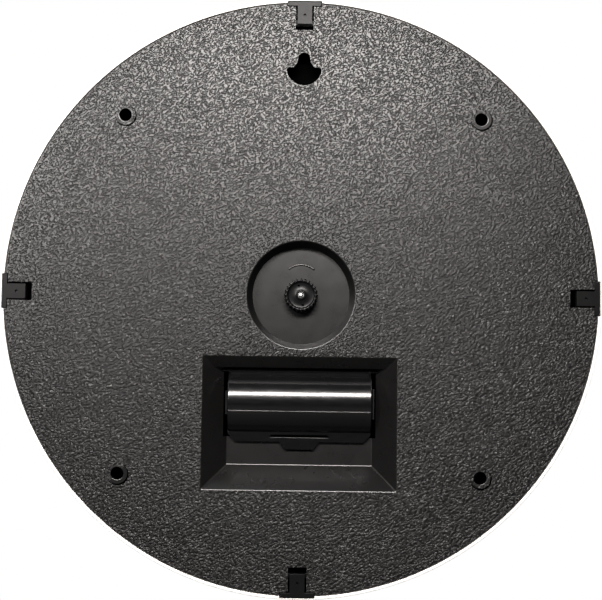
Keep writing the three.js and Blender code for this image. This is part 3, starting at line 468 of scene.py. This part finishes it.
def combine(target, tools, operation):
    """Joins or cuts, and removes the tools."""
    for tool in tools:
        change = target.modifiers.new("change", "BOOLEAN")
        change.operation, change.solver, change.object = operation, "EXACT", tool
        settled = bpy.context.evaluated_depsgraph_get()
        mesh = bpy.data.meshes.new_from_object(target.evaluated_get(settled))
        target.modifiers.clear()
        target.data = mesh
        bpy.data.objects.remove(tool)
    return target


def added(target, *tools):
    return combine(target, tools, "UNION")


def cut(target, *tools):
    return combine(target, tools, "DIFFERENCE")


SHARP = math.radians(34)


def finished(piece, body, slot, *nodes, angle=SHARP, finish=None):
    """Cleans the mesh, shades it, paints it (with its slot's finish unless told) and puts it on its body."""
    work = bmesh.new()
    work.from_mesh(piece.data)
    bmesh.ops.remove_doubles(work, verts=work.verts, dist=2e-7)
    bmesh.ops.dissolve_degenerate(work, dist=1e-7, edges=work.edges)
    work.to_mesh(piece.data)
    work.free()
    piece.data.polygons.foreach_set("use_smooth", [True] * len(piece.data.polygons))
    piece.data.set_sharp_from_angle(angle=angle)
    weighted = piece.modifiers.new("normals", "WEIGHTED_NORMAL")
    weighted.keep_sharp = True
    if not piece.data.materials:
        piece.data.materials.append(FINISH[finish or slot])
    if nodes:
        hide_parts(*nodes)
    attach(piece, body)
    return piece


def swung(piece, angle):
    """Turns a piece's mesh clockwise, as seen from the dial, about the axis of the hands."""
    centre = Matrix.Translation((0, 0, AXIS_Z))
    piece.data.transform(centre @ Matrix.Rotation(angle, 4, "Y") @ centre.inverted())
    return piece


def at_quarters(name, build):
    """The same piece at the top and at each quarter turn from there."""
    return [swung(build(f"{name}_{turn}"), math.radians(90) * turn) for turn in range(4)]


# ---- Sizes of the clock, in millimetres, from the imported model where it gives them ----
def radius_of(node):
    low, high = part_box(node)
    return (high[0] - low[0]) / MM / 2


def back_of(node):
    return -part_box(node)[1][1] / MM


def front_of(node):
    return -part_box(node)[0][1] / MM


CASE_RADIUS, CASE_DEPTH = radius_of("back_case"), front_of("back_case")
RIM_RADIUS, CLOCK_DEPTH = radius_of("bezel_ring"), front_of("bezel_ring")
CASE_WALL, PLATE = 2.2, 2.4
BOSS = (CASE_RADIUS - 18.1) / math.sqrt(2)
BOSSES = [(BOSS, BOSS), (BOSS, -BOSS), (-BOSS, -BOSS), (-BOSS, BOSS)]
BOSS_RADIUS, BOSS_HOLE, BOSS_GROOVE, BOSS_END = 4.25, 2.6, 0.35, 26.0
SCREW_SEAT, SCREW_HOLE = 22, 1.6
GROOVE_SHIFT = (-0.3, -0.38)  # the groove around a boss is wider on this side
WELL_RIM, WELL_FLOOR, WELL_DEPTH = 22.5, 20.6, 7.0
HANG_Z = CASE_RADIUS - 24.2
KEY_SHOULDER, KEY_HEAD, KEY_NECK, KEY_FLARE, KEY_CORNER = HANG_Z - 3.9, 7.4, 2.5, 1.8, 1.2
MARK_RADIUS, MARK_RISE, MARK_HALF_ANGLE = 8.4, 4.9, 41
RECESS = {"half": 30.9, "bottom": -71.84, "top": -30.7, "slope": 9.9, "top_slope": 4.65, "depth": 10.0}
BAY_HALF, BAY_TOP, BAY_BOTTOM, BAY_MOUTH, BAY_FLOOR = 32.3, -31.0, -60.04, 7.75, 29.65
RIB_BACK, RIB_HALF = 15.8, 6  # the rib that bears the contact at the plus end
CELL_DEPTH, CELL_Z, HOOD_RADIUS, HOOD_WALL = 16.25, -45.77, 14.5, 1.2
DOOR_HALF, HOOD_DEPTH, HOOD_TOP, HOOD_BOTTOM = 30.35, 9.7, -33.1, -58.44
FLANGE_BOTTOM, LATCH_Z, FLANGE_BACK = -62.04, -65.24, 8.3
CLIP_BAR_INNER, CLIP_BAR_OUTER, CLIP_STEM_INNER = 123.75, 125.8, 116.0
CLIP_BAR_HALF, CLIP_STEM_HALF, CLIP_ROOM = 7.1, 3.175, 0.3
DIAL_BACK, DIAL_FRONT, LENS_BACK, LENS_FRONT = 36.6, 37.3, 46.5, 48.2
DIAL_BORE, HOUR_RING = 4.4, 89
INNER_RADIUS = CASE_RADIUS - 0.1


# ---- Back case ----
def recess_ring(grow, shift, depth, top_grow=None):
    """A rounded rectangle of the recess: grow is its sideways run beyond the floor's edge."""
    half = RECESS["half"] + grow + shift
    top = RECESS["top"] + (grow if top_grow is None else top_grow) + shift
    outline = rectangle(-half, half, RECESS["bottom"] - grow - shift, top, 0.7)
    return [(x, depth, z) for x, z in outline]


def recess_cutter():
    slope, turn = RECESS["slope"], RECESS["top_slope"]
    soft = 0.8
    lead_in = soft * math.tan(math.radians(22.5))
    rings = [recess_ring(slope, lead_in, -2, turn)]
    for k in range(4):
        angle = math.radians(15 * k)
        shift = lead_in - soft * math.sin(angle)
        rings.append(recess_ring(slope, shift, soft - soft * math.cos(angle), turn))
    rings.append(recess_ring(slope - turn, 0, turn, 0))
    for k in range(4):
        angle = math.radians(45 - 15 * k)
        shift = -lead_in + soft * math.sin(angle)
        rings.append(recess_ring(0, shift, RECESS["depth"] - soft + soft * math.cos(angle), 0))
    return loft("recess", rings)


def recess_housing():
    slope, turn, wall = RECESS["slope"], RECESS["top_slope"], 2.8
    rings = [recess_ring(slope, wall - 0.6, 0.6, turn - 0.6),
             recess_ring(slope - turn, wall, turn, 0),
             recess_ring(0, wall, RECESS["depth"] + 2, 0)]
    return loft("recess_housing", rings)


def keyhole_outline():
    inset = KEY_HEAD - KEY_CORNER
    corner = math.degrees(math.asin(KEY_CORNER / inset))
    corner_x = inset * math.cos(math.radians(corner))
    centre = (corner_x, KEY_SHOULDER - KEY_CORNER)
    head = arc(KEY_HEAD, 180 + corner, 360 - corner, 24, (0, KEY_SHOULDER))
    right = arc(KEY_CORNER, -corner, 90, 8, centre)
    drop = HANG_Z - KEY_SHOULDER
    neck = []
    for k in range(1, 8):
        t = k / 8
        neck.append((KEY_NECK + KEY_FLARE * (1 - t) ** 2, KEY_SHOULDER + drop * t))
    top = arc(KEY_NECK, 0, 180, 16, (0, HANG_Z))
    shoulder = [(KEY_NECK + KEY_FLARE, KEY_SHOULDER)]
    left = [(-x, z) for x, z in (right + shoulder + neck)][::-1]
    return head[1:-1] + right + shoulder + neck + top + left


def clip_slot(name):
    """The slot of a clip: narrow for its stem and leg, wide and shallow for its bar."""
    half = CLIP_STEM_HALF + 0.6
    inner = CLIP_STEM_INNER - 2.7
    slot = opening(name, rectangle(-half, half, inner, CASE_RADIUS + 4, 0.25), PLATE + 0.3, 0.15)
    bar_half = CLIP_BAR_HALF + CLIP_ROOM
    rebate = opening(name + "_bar", rectangle(-bar_half, bar_half, CLIP_BAR_INNER - CLIP_ROOM,
                                              CASE_RADIUS + 4, 0.3), 3.2, 0.12)
    return added(slot, rebate)


def turning_mark():
    """A thin raised arc with short down-turned ends."""
    centre, half = (0, MARK_RISE), MARK_HALF_ANGLE
    outer = arc(MARK_RADIUS + 0.4, 90 - half, 90 + half, 24, centre)
    inner = arc(MARK_RADIUS - 0.4, 90 + half, 90 - half, 24, centre)
    return plate("mark", outer + inner, WELL_DEPTH - 0.4, WELL_DEPTH + 0.3, 0.36, 0)


def case_shell():
    """The plate with its skirt, and the housings that stand on its inside."""
    rim = [(CASE_RADIUS - inset, depth) for inset, depth in rounding(0.5)]
    shell = turned("back_case", [(0, 0), *rim, (CASE_RADIUS, CASE_DEPTH),
                                 (CASE_RADIUS - CASE_WALL, CASE_DEPTH), (CASE_RADIUS - CASE_WALL, PLATE),
                                 (0, PLATE)], FINE)
    well_wall = 2.0
    well = turned("well_housing", [(0, 0.6), (WELL_RIM + well_wall, 0.6),
                                   (WELL_FLOOR + well_wall, WELL_DEPTH + 2), (0, WELL_DEPTH + 2)], FINE)
    pocket_half, pocket_top = KEY_HEAD + 3.6, HANG_Z + KEY_NECK + 3.6
    key = block("key_housing", -pocket_half, pocket_half, 0.6, 10.0, KEY_SHOULDER - pocket_half, pocket_top)
    outer = BAY_HALF + 1.6
    bay = block("bay_housing", -outer, outer, 10.0, BAY_FLOOR + 1.6, BAY_BOTTOM - 1.6, BAY_TOP + 1.6)
    posts = [turned("post", [(0, 0.6), (BOSS_RADIUS, 0.6), (BOSS_RADIUS, BOSS_END), (0, BOSS_END)], SMALL, at)
             for at in BOSSES]
    return added(shell, well, recess_housing(), bay, key, *posts)


def cut_bosses(shell):
    for at in BOSSES:
        ring = BOSS_RADIUS + BOSS_GROOVE
        beside = (at[0] + GROOVE_SHIFT[0], at[1] + GROOVE_SHIFT[1])
        groove = turned("groove", [(0, -2), (ring, -2), (ring - 0.1, 1.5), (0, 1.5)], SMALL * 2, beside)
        cut(groove, turned("ring", [(0, -3), (BOSS_RADIUS, -3), (BOSS_RADIUS, 2), (0, 2)], SMALL * 2, at))
        mouth = BOSS_HOLE + 0.35
        hole = turned("hole", [(0, -2), (mouth, -2), (mouth, 0), (BOSS_HOLE + 0.1, 0.12), (BOSS_HOLE, 0.4),
                               (BOSS_HOLE, SCREW_SEAT), (SCREW_HOLE, SCREW_SEAT), (SCREW_HOLE, BOSS_END + 2),
                               (0, BOSS_END + 2)], SMALL, at)
        cut(shell, groove, hole)


CASE_FINISHES = ["case_black", "smooth_black", "shade_painted_black", "wall_black"]
GRAIN, SMOOTH, SHADE_PAINTED, WALL = range(4)


def case_finish(face, corners):
    """Grain on the back plane; steep well walls and boss rings matt; screw holes, boss grooves, pockets and the
    inside painted darkest, as painted shade.
    """
    centre = face.center
    x, depth, z = centre.x / MM, -centre.y / MM, (centre.z - AXIS_Z) / MM
    reach = min(max(math.hypot(c.x / MM - boss_x, (c.z - AXIS_Z) / MM - boss_z) for c in corners)
                for boss_x, boss_z in BOSSES)
    out = math.hypot(x, z)
    flat = face.normal.y > 0.99 and depth < 0.02
    in_well = out < WELL_RIM + 1 and depth < WELL_DEPTH + 0.1
    on_well_wall = in_well and out > WELL_FLOOR - 0.1 and depth > 0.65 and abs(face.normal.y) < 0.9
    reach_x, slope = RECESS["half"] + RECESS["slope"], RECESS["slope"]
    in_recess = (abs(x) < reach_x + 1.2 and depth < RECESS["depth"] + 0.1
                 and RECESS["bottom"] - slope - 1.2 < z < RECESS["top"] + RECESS["top_slope"] + 1.2)
    on_skirt = out > CASE_RADIUS - 0.6
    if flat and reach > BOSS_RADIUS + 0.1:
        return GRAIN
    if flat or on_well_wall:
        return WALL
    # Painted shade: the boss grooves and screw holes get the darkest black.
    if reach < BOSS_RADIUS + 1 and depth > 0.2:
        return SHADE_PAINTED
    return SMOOTH if depth < 0.95 or in_well or in_recess or on_skirt else SHADE_PAINTED


def back_case():
    shell, soft = case_shell(), 0.6
    mouth = [(WELL_RIM + inset, depth) for inset, depth in rounding(soft)]
    cut(shell, turned("well", [(0, -2), (WELL_RIM + soft, -2), *mouth, (WELL_FLOOR, WELL_DEPTH),
                               (0, WELL_DEPTH)], FINE))
    cut(shell, recess_cutter())
    cavity = block("bay", -BAY_HALF, BAY_HALF, BAY_MOUTH, BAY_FLOOR, BAY_BOTTOM, BAY_TOP)
    rib = block("rib", 27, 28.6, RIB_BACK, BAY_FLOOR + 0.3, CELL_Z - RIB_HALF, CELL_Z + RIB_HALF)
    cut(shell, cut(cavity, rib))
    cut(shell, opening("keyhole", keyhole_outline(), PLATE + 1, 0.35))
    pocket = KEY_HEAD + 2
    cut(shell, block("key_pocket", -pocket, pocket, PLATE, 8.4, KEY_SHOULDER - pocket,
                     HANG_Z + KEY_NECK + 2))
    cut_bosses(shell)
    cut(shell, *at_quarters("slot", clip_slot))
    cut(shell, bar("pins", 0.95, -33.85, 33.85, HINGE_DEPTH, HINGE_Z, 16),
        block("latch_window", -5.3, 5.3, 9, 14, LATCH_Z - 0.6, LATCH_Z + 2),
        block("contact_window", -36, 36, CELL_DEPTH + 5, CELL_DEPTH + 6.5, CELL_Z - 2, CELL_Z + 2))
    added(shell, turning_mark())
    cut(shell, turned("knob_hole", [(0, 5), (3.2, 5), (3.2, 12), (0, 12)], SMALL))
    shell.data.materials.clear()
    for name in CASE_FINISHES:
        shell.data.materials.append(FINISH[name])
    for face in shell.data.polygons:
        face.material_index = case_finish(face, [shell.data.vertices[index].co for index in face.vertices])
    finished(shell, "clock_body", "case_black", "back_case")


# ---- Rim, its clips and the case screws ----
def rim_notch(name):
    half = CLIP_BAR_HALF + CLIP_ROOM
    return opening(name, rectangle(-half, half, CASE_RADIUS - 5, CLIP_BAR_OUTER + 0.2, 0.2), 2.9, 0.1)


def bezel_ring():
    inner = CASE_RADIUS + 0.3
    outer_back = [(RIM_RADIUS - inset, depth) for inset, depth in rounding(0.35)]
    big = rounding(2.0, 6)
    outer_front = [(RIM_RADIUS - inset, CLOCK_DEPTH - depth) for inset, depth in big][::-1]
    lip = inner - 7.5
    profile = [(inner, 0.2), (inner + 0.2, 0), *outer_back, *outer_front,
               (lip + 0.4, CLOCK_DEPTH), (lip + 0.1, CLOCK_DEPTH - 0.15), (lip, CLOCK_DEPTH - 0.5),
               (lip, LENS_FRONT + 0.3), (inner, LENS_FRONT + 0.3)]
    ring = turned("bezel_ring", profile, FINE)
    cut(ring, *at_quarters("notch", rim_notch))
    finished(ring, "clock_body", "rim_white", "bezel_ring")


def rim_clip(name):
    """A T: a bar over the rim, a stem, and a leg with two wings behind the plate."""
    half, wing = CLIP_STEM_HALF, 2.8
    head = block(name, -CLIP_BAR_HALF, CLIP_BAR_HALF, 0.3, 2.6, CLIP_BAR_INNER, CLIP_BAR_OUTER, 0.22)
    stem = block("stem", -half, half, 0.3, 1.9, CLIP_STEM_INNER, CLIP_BAR_INNER + 0.3, 0.15)
    leg = block("leg", -half, half, 0.7, 4.2, CLIP_STEM_INNER, CLIP_STEM_INNER + 2, 0.12)
    wings = block("wings", -half - wing, half + wing, 2.7, 4.2, CLIP_STEM_INNER, CLIP_STEM_INNER + 2, 0.12)
    added(head, stem, leg, wings)
    dimple = turned("dimple", [(0, -1), (0.6, -1), (0.6, 0.3), (0.45, 1.3), (0, 1.4)], 20,
                    (0, (CLIP_STEM_INNER + CLIP_BAR_INNER) / 2))
    return cut(head, dimple)


def rim_clips():
    sides = ["top", "right", "bottom", "left"]
    for side, piece in zip(sides, at_quarters("clip", rim_clip)):
        piece.name = f"clip_{side}"
        finished(piece, "clock_body", "smooth_black", f"rim_clip_{side}", finish="clip_black")


def case_screws():
    """Pan-head screws with a cross slot."""
    top, end = back_of("case_screw_1"), front_of("case_screw_1")
    for index, at in enumerate(BOSSES):
        head = turned(f"screw_{index + 1}", [(0, top), (1.0, top + 0.02), (1.7, top + 0.2), (2.15, top + 0.6),
                                             (2.3, top + 1.0), (2.3, top + 2.1), (1.3, top + 2.1),
                                             (1.3, end - 0.6), (0.8, end), (0, end)], SMALL, at)
        x, z = at
        for turn in (0, 1):
            long_x, long_z = (1.5, 0.32) if turn else (0.32, 1.5)
            cut(head, block("slot", x - long_x, x + long_x, top - 1, top + 1, z - long_z, z + long_z))
        finished(head, "clock_body", "steel", f"case_screw_{index + 1}")


# ---- Setting knob and the arbor's tip ----
def setting_knob():
    lobes = 24

    def scallop(radius, weight, angle):
        return radius - weight * 0.85 * math.sin(lobes / 2 * angle) ** 2

    profile = [(1.5, 10.5), (1.5, 1.5), (1.62, 1.32), (1.85, 1.3), (2.0, 1.42), (2.05, 1.75), (2.25, 1.9),
               (5.1, 1.9), (5.4, 1.78), (5.62, 1.5), (5.7, 1.15), (5.9, 1.0), (6.35, 1.0, 0.35),
               (6.8, 1.08, 0.8), (7.05, 1.3, 1), (7.15, 1.6, 1), (7.15, 6.1, 1), (7.0, 6.4, 1),
               (6.6, 6.5, 1), (2.6, 6.5), (2.6, 10.5)]
    knob = turned("setting_knob", profile, lobes * 12, scallop=scallop)
    for degrees in (76, -100):
        a = math.radians(degrees)
        at = (4.2 * math.cos(a), 4.2 * math.sin(a))
        cut(knob, turned("pin_hole", [(0, 0), (0.5, 0), (0.5, 3.4), (0, 3.5)], 20, at))
    finished(knob, "minute_works", "smooth_black", "setting_knob", angle=math.radians(50),
             finish="knob_black")


def arbor_tip():
    """The arbor keeps its CAD gear; a domed steel end shows in the knob's hub."""
    radius, top = 1.19, 1.7
    dome = turned("arbor_tip", [(0, top - 0.55), (0.45, top - 0.5), (0.85, top - 0.32), (1.08, top - 0.05),
                                (radius, top + 0.3), (radius, top + 0.9), (0, top + 0.9)], SMALL)
    finished(dome, "minute_works", "steel")


# ---- Battery door, cell and contacts ----
def battery_door():
    hood = bar("battery_door", HOOD_RADIUS, -DOOR_HALF, DOOR_HALF, CELL_DEPTH, CELL_Z, 160, 0.45)
    keep = block("keep", -40, 40, 0, HOOD_DEPTH, HOOD_BOTTOM, HOOD_TOP)
    combine(hood, [keep], "INTERSECT")
    rib_drop, rib_radius = 3.2, 0.32
    rib_out = math.sqrt((HOOD_RADIUS - 0.1) ** 2 - rib_drop ** 2)
    rib = bar("rib", rib_radius, -DOOR_HALF + 0.3, DOOR_HALF - 0.3, CELL_DEPTH - rib_out, CELL_Z - rib_drop,
              20, 0.1)
    added(hood, rib)
    inner = DOOR_HALF - HOOD_WALL
    cut(hood, bar("inside", HOOD_RADIUS - HOOD_WALL, -inner, inner, CELL_DEPTH, CELL_Z, 120))
    corner = 3.2
    flange = soft_corners([(-DOOR_HALF, HOOD_BOTTOM + 0.8), (-DOOR_HALF, FLANGE_BOTTOM + corner),
                           (-DOOR_HALF + corner, FLANGE_BOTTOM), (-8.4, FLANGE_BOTTOM), (-6.05, LATCH_Z),
                           (6.05, LATCH_Z), (8.4, FLANGE_BOTTOM), (DOOR_HALF - corner, FLANGE_BOTTOM),
                           (DOOR_HALF, FLANGE_BOTTOM + corner), (DOOR_HALF, HOOD_BOTTOM + 0.8)], 0.45)
    sheet = plate("flange", flange, FLANGE_BACK, HOOD_DEPTH, 0.25)
    hook = block("hook", -5, 5, FLANGE_BACK + 0.5, HOOD_DEPTH + 2.9, LATCH_Z + 0.05, LATCH_Z + 1.3, 0.2)
    slot_top = HOOD_BOTTOM - 0.55
    slot = opening("slot", rectangle(-12.1, 12.1, slot_top - 1.2, slot_top, 0.2), HOOD_DEPTH + 1, 0.12,
                   FLANGE_BACK - 1, FLANGE_BACK)
    cut(sheet, slot)
    half = DOOR_HALF - 1
    hinge = bar("hinge", 1.0, -half, half, HINGE_DEPTH, HINGE_Z, 24, 0.2)
    pins = bar("pins", 0.65, -33.55, 33.55, HINGE_DEPTH, HINGE_Z, 16, 0.1)
    web = block("web", -half, half, HINGE_DEPTH - 0.5, HOOD_DEPTH - 0.3, HOOD_TOP - 0.6, HINGE_Z)
    knuckles = [bar("knuckle", 1.0, side * (half + 0.62) - 0.38, side * (half + 0.62) + 0.38, HINGE_DEPTH,
                    HINGE_Z, 24, 0.2) for side in (-1, 1)]
    added(hood, sheet, hook, hinge, pins, web, *knuckles)
    finished(hood, "door", "door_black", "battery_door")


def battery_cell():
    """A plain sleeve crimped over bright ends; plus is towards +X."""
    half, radius = 24.0, 12.9

    def along(name, profile):
        return loft(name, [[(x, CELL_DEPTH + v, CELL_Z + u) for u, v in circle(r, MEDIUM)]
                           for x, r in profile])

    sleeve = along("battery_cell", [(-half + 0.3, radius - 2.2), (-half + 0.1, radius - 1.6),
                                    (-half, radius - 1.0), (-half + 0.1, radius - 0.5),
                                    (-half + 0.5, radius - 0.1),
                                    (-half + 0.9, radius), (half - 0.9, radius), (half - 0.5, radius - 0.1),
                                    (half - 0.1, radius - 0.5), (half, radius - 1.0),
                                    (half - 0.1, radius - 1.6), (half - 0.3, radius - 2.2)])
    finished(sleeve, "clock_body", "cell_sleeve", "battery_cell")
    nub = 3.6
    plus = along("cell_plus", [(half - 1, radius - 2.4), (half - 0.1, radius - 2.4), (half, radius - 2.6),
                               (half, nub + 0.5), (half + 0.15, nub + 0.1), (half + 0.5, nub),
                               (half + 1.25, nub - 0.05), (half + 1.6, nub - 0.45), (half + 1.6, 0.4)])
    finished(plus, "clock_body", "steel")
    minus = along("cell_minus", [(-half + 1, radius - 2.4), (-half + 0.1, radius - 2.4),
                                 (-half, radius - 2.7), (-half, radius - 4.2),
                                 (-half + 0.2, radius - 4.6), (-half + 0.2, 0.4)])
    finished(minus, "clock_body", "steel")


def contact_spring():
    """A conical coil of round wire on a plate."""
    plate_at, thickness = 0.3 - BAY_HALF, 0.5
    coil_from, coil_to = plate_at + thickness, -24.9
    turns, steps, wire = 3.5, 168, 0.45
    rings = []
    for k in range(steps + 1):
        t = k / steps
        radius, angle = 5.2 - 2.4 * t, 2 * math.pi * turns * t
        outward = Vector((0, math.sin(angle), math.cos(angle)))
        middle = Vector((coil_from + (coil_to - coil_from) * t, 0, 0)) + outward * radius
        rings.append([tuple(middle + outward * u + Vector((v, 0, 0)) + Vector((0, CELL_DEPTH, CELL_Z)))
                      for u, v in circle(wire, 12)])
    coil = loft("contact_spring", rings)
    half = 6.5
    base = block("contact_spring_plate", plate_at, coil_from + 0.2, 12.5, CELL_DEPTH + 8, CELL_Z - half,
                 CELL_Z + half, 0.12)
    tail = block("tail", -(BAY_HALF + 2.6), coil_from, CELL_DEPTH + 5.5, CELL_DEPTH + 6, CELL_Z - 1.5,
                 CELL_Z + 1.5, 0.1)
    added(base, tail)
    for part in (coil, base):
        finished(part, "clock_body", "steel", "contact_spring", finish="shade_darkened_steel")


# ---- Dial side ----
def front_rings():
    """Spacer, lens and dial, round where the CAD's are many-sided."""
    back, front = DIAL_FRONT + 0.3, LENS_BACK - 0.3
    foot, lip = INNER_RADIUS - 5.2, INNER_RADIUS - 1.1
    spacer = turned("spacer_ring", [(foot + 0.1, back), (INNER_RADIUS, back), (INNER_RADIUS, front),
                                    (lip, front), (lip - 0.1, front - 0.1), (foot + 0.05, back + 1.05),
                                    (foot, back + 0.9), (foot, back + 0.1)], FINE)
    finished(spacer, "clock_body", "rim_white", "spacer_ring")
    edge = 0.2
    lens = turned("lens_glass", [(0, LENS_BACK), (INNER_RADIUS - edge, LENS_BACK),
                                 (INNER_RADIUS, LENS_BACK + edge), (INNER_RADIUS, LENS_FRONT - edge),
                                 (INNER_RADIUS - edge, LENS_FRONT), (0, LENS_FRONT)], FINE)
    finished(lens, "clock_body", "lens_clear", "lens_glass")
    dial = turned("dial_face", [(DIAL_BORE, DIAL_BACK), (INNER_RADIUS, DIAL_BACK), (INNER_RADIUS, DIAL_FRONT),
                                (DIAL_BORE, DIAL_FRONT)], FINE)
    finished(dial, "clock_body", "dial_white", "dial_face")


PRINT_BACK, PRINT_FRONT = DIAL_FRONT - 0.04, DIAL_FRONT + 0.12


def dial_strokes():
    """Minute and hour strokes, a hair proud of the dial."""
    corners, faces = [], []
    for minute in range(60):
        hour = minute % 5 == 0
        inner, outer, half = (103.5, 112.0, 1.1) if hour else (107.5, 112.0, 0.35)
        a = math.radians(6 * minute)
        across, along = Vector((math.cos(a), -math.sin(a))), Vector((math.sin(a), math.cos(a)))
        base = len(corners)
        for depth in (PRINT_BACK, PRINT_FRONT):
            for r, s in ((inner, -half), (inner, half), (outer, half), (outer, -half)):
                at = along * r + across * s
                corners.append((at.x, depth, at.y))
        sides = [(base + k, base + (k + 1) % 4, base + 4 + (k + 1) % 4, base + 4 + k) for k in range(4)]
        faces += [(base + 3, base + 2, base + 1, base), (base + 4, base + 5, base + 6, base + 7)] + sides
    finished(mesh_of("dial_marks", corners, faces), "clock_body", "hand_black")


def dial_numbers():
    """The twelve hour numbers, as proud as the strokes."""
    for number in range(1, 13):
        text = bpy.data.curves.new(f"number_{number}", "FONT")
        text.body, text.size = str(number), 24 * MM
        text.extrude, text.offset = (PRINT_FRONT - PRINT_BACK) * MM / 2, 0.0004
        text.align_x, text.align_y = "CENTER", "CENTER"
        letters = show(text, f"letters_{number}")
        mesh = bpy.data.meshes.new_from_object(letters)
        bpy.data.objects.remove(letters)
        lows = [min(v.co[k] for v in mesh.vertices) for k in range(2)]
        highs = [max(v.co[k] for v in mesh.vertices) for k in range(2)]
        middle = Vector(((lows[0] + highs[0]) / 2, (lows[1] + highs[1]) / 2, 0))
        a = math.radians(30 * number)
        at = point(HOUR_RING * math.sin(a), (PRINT_BACK + PRINT_FRONT) / 2, HOUR_RING * math.cos(a))
        upright = Matrix.Rotation(math.radians(90), 4, "X")
        mesh.transform(Matrix.Translation(at) @ upright @ Matrix.Translation(-middle))
        finished(show(mesh, f"dial_number_{number}"), "clock_body", "hand_black")


def hand(name, body, length, bore, degrees):
    """A tapered hand with a round hub and a short tail."""
    back = back_of(name)
    width, tip, tail = 6.0, 3.0, 14.0
    blade = soft_corners([(-width * 0.4, -tail), (width * 0.4, -tail), (width / 2, 0),
                          (tip / 2, length - tip), (0, length), (-tip / 2, length - tip),
                          (-width / 2, 0)], 0.3, 3)
    made = plate(name, blade, back, back + 0.6, 0.1, 0.22)
    added(made, plate("hub", circle(5, 64), back, back + 0.6, 0.1, 0.22))
    cut(made, turned("bore", [(0, back - 2), (bore, back - 2), (bore, back + 3), (0, back + 3)], SMALL))
    finished(swung(made, math.radians(degrees)), body, "hand_black", name)


def hands():
    """The hands at ten past ten, and the cap on the arbor."""
    hand("hour_hand", "hour_works", 62, 2.6, 305)
    hand("minute_hand", "minute_works", 94, 1.5, 60)
    cap = back_of("hand_cap")
    piece = turned("hand_cap", [(1.5, cap), (3.85, cap), (4, cap + 0.15), (4, cap + 0.95), (3.75, cap + 1.25),
                                (3.2, cap + 1.45), (1.8, cap + 1.57), (0.01, cap + 1.6), (0.01, cap + 0.9),
                                (1.5, cap + 0.9)], 64)
    finished(piece, "minute_works", "hand_black", "hand_cap")


def carried_over():
    """The movement, its wheels and the rest keep their CAD meshes and get their finishes."""
    slots = {row["node"]: row["material_slot"] for row in frame["record"]["subparts"]}
    for name, node in frame["nodes"].items():
        node.data.materials.clear()
        # The contact plate takes the steel darkened as painted shade.
        node.data.materials.append(FINISH["shade_darkened_steel" if name == "contact_plate" else slots[name]])


back_case()
bezel_ring()
rim_clips()
case_screws()
setting_knob()
arbor_tip()
battery_door()
battery_cell()
contact_spring()
front_rings()
dial_strokes()
dial_numbers()
hands()
carried_over()
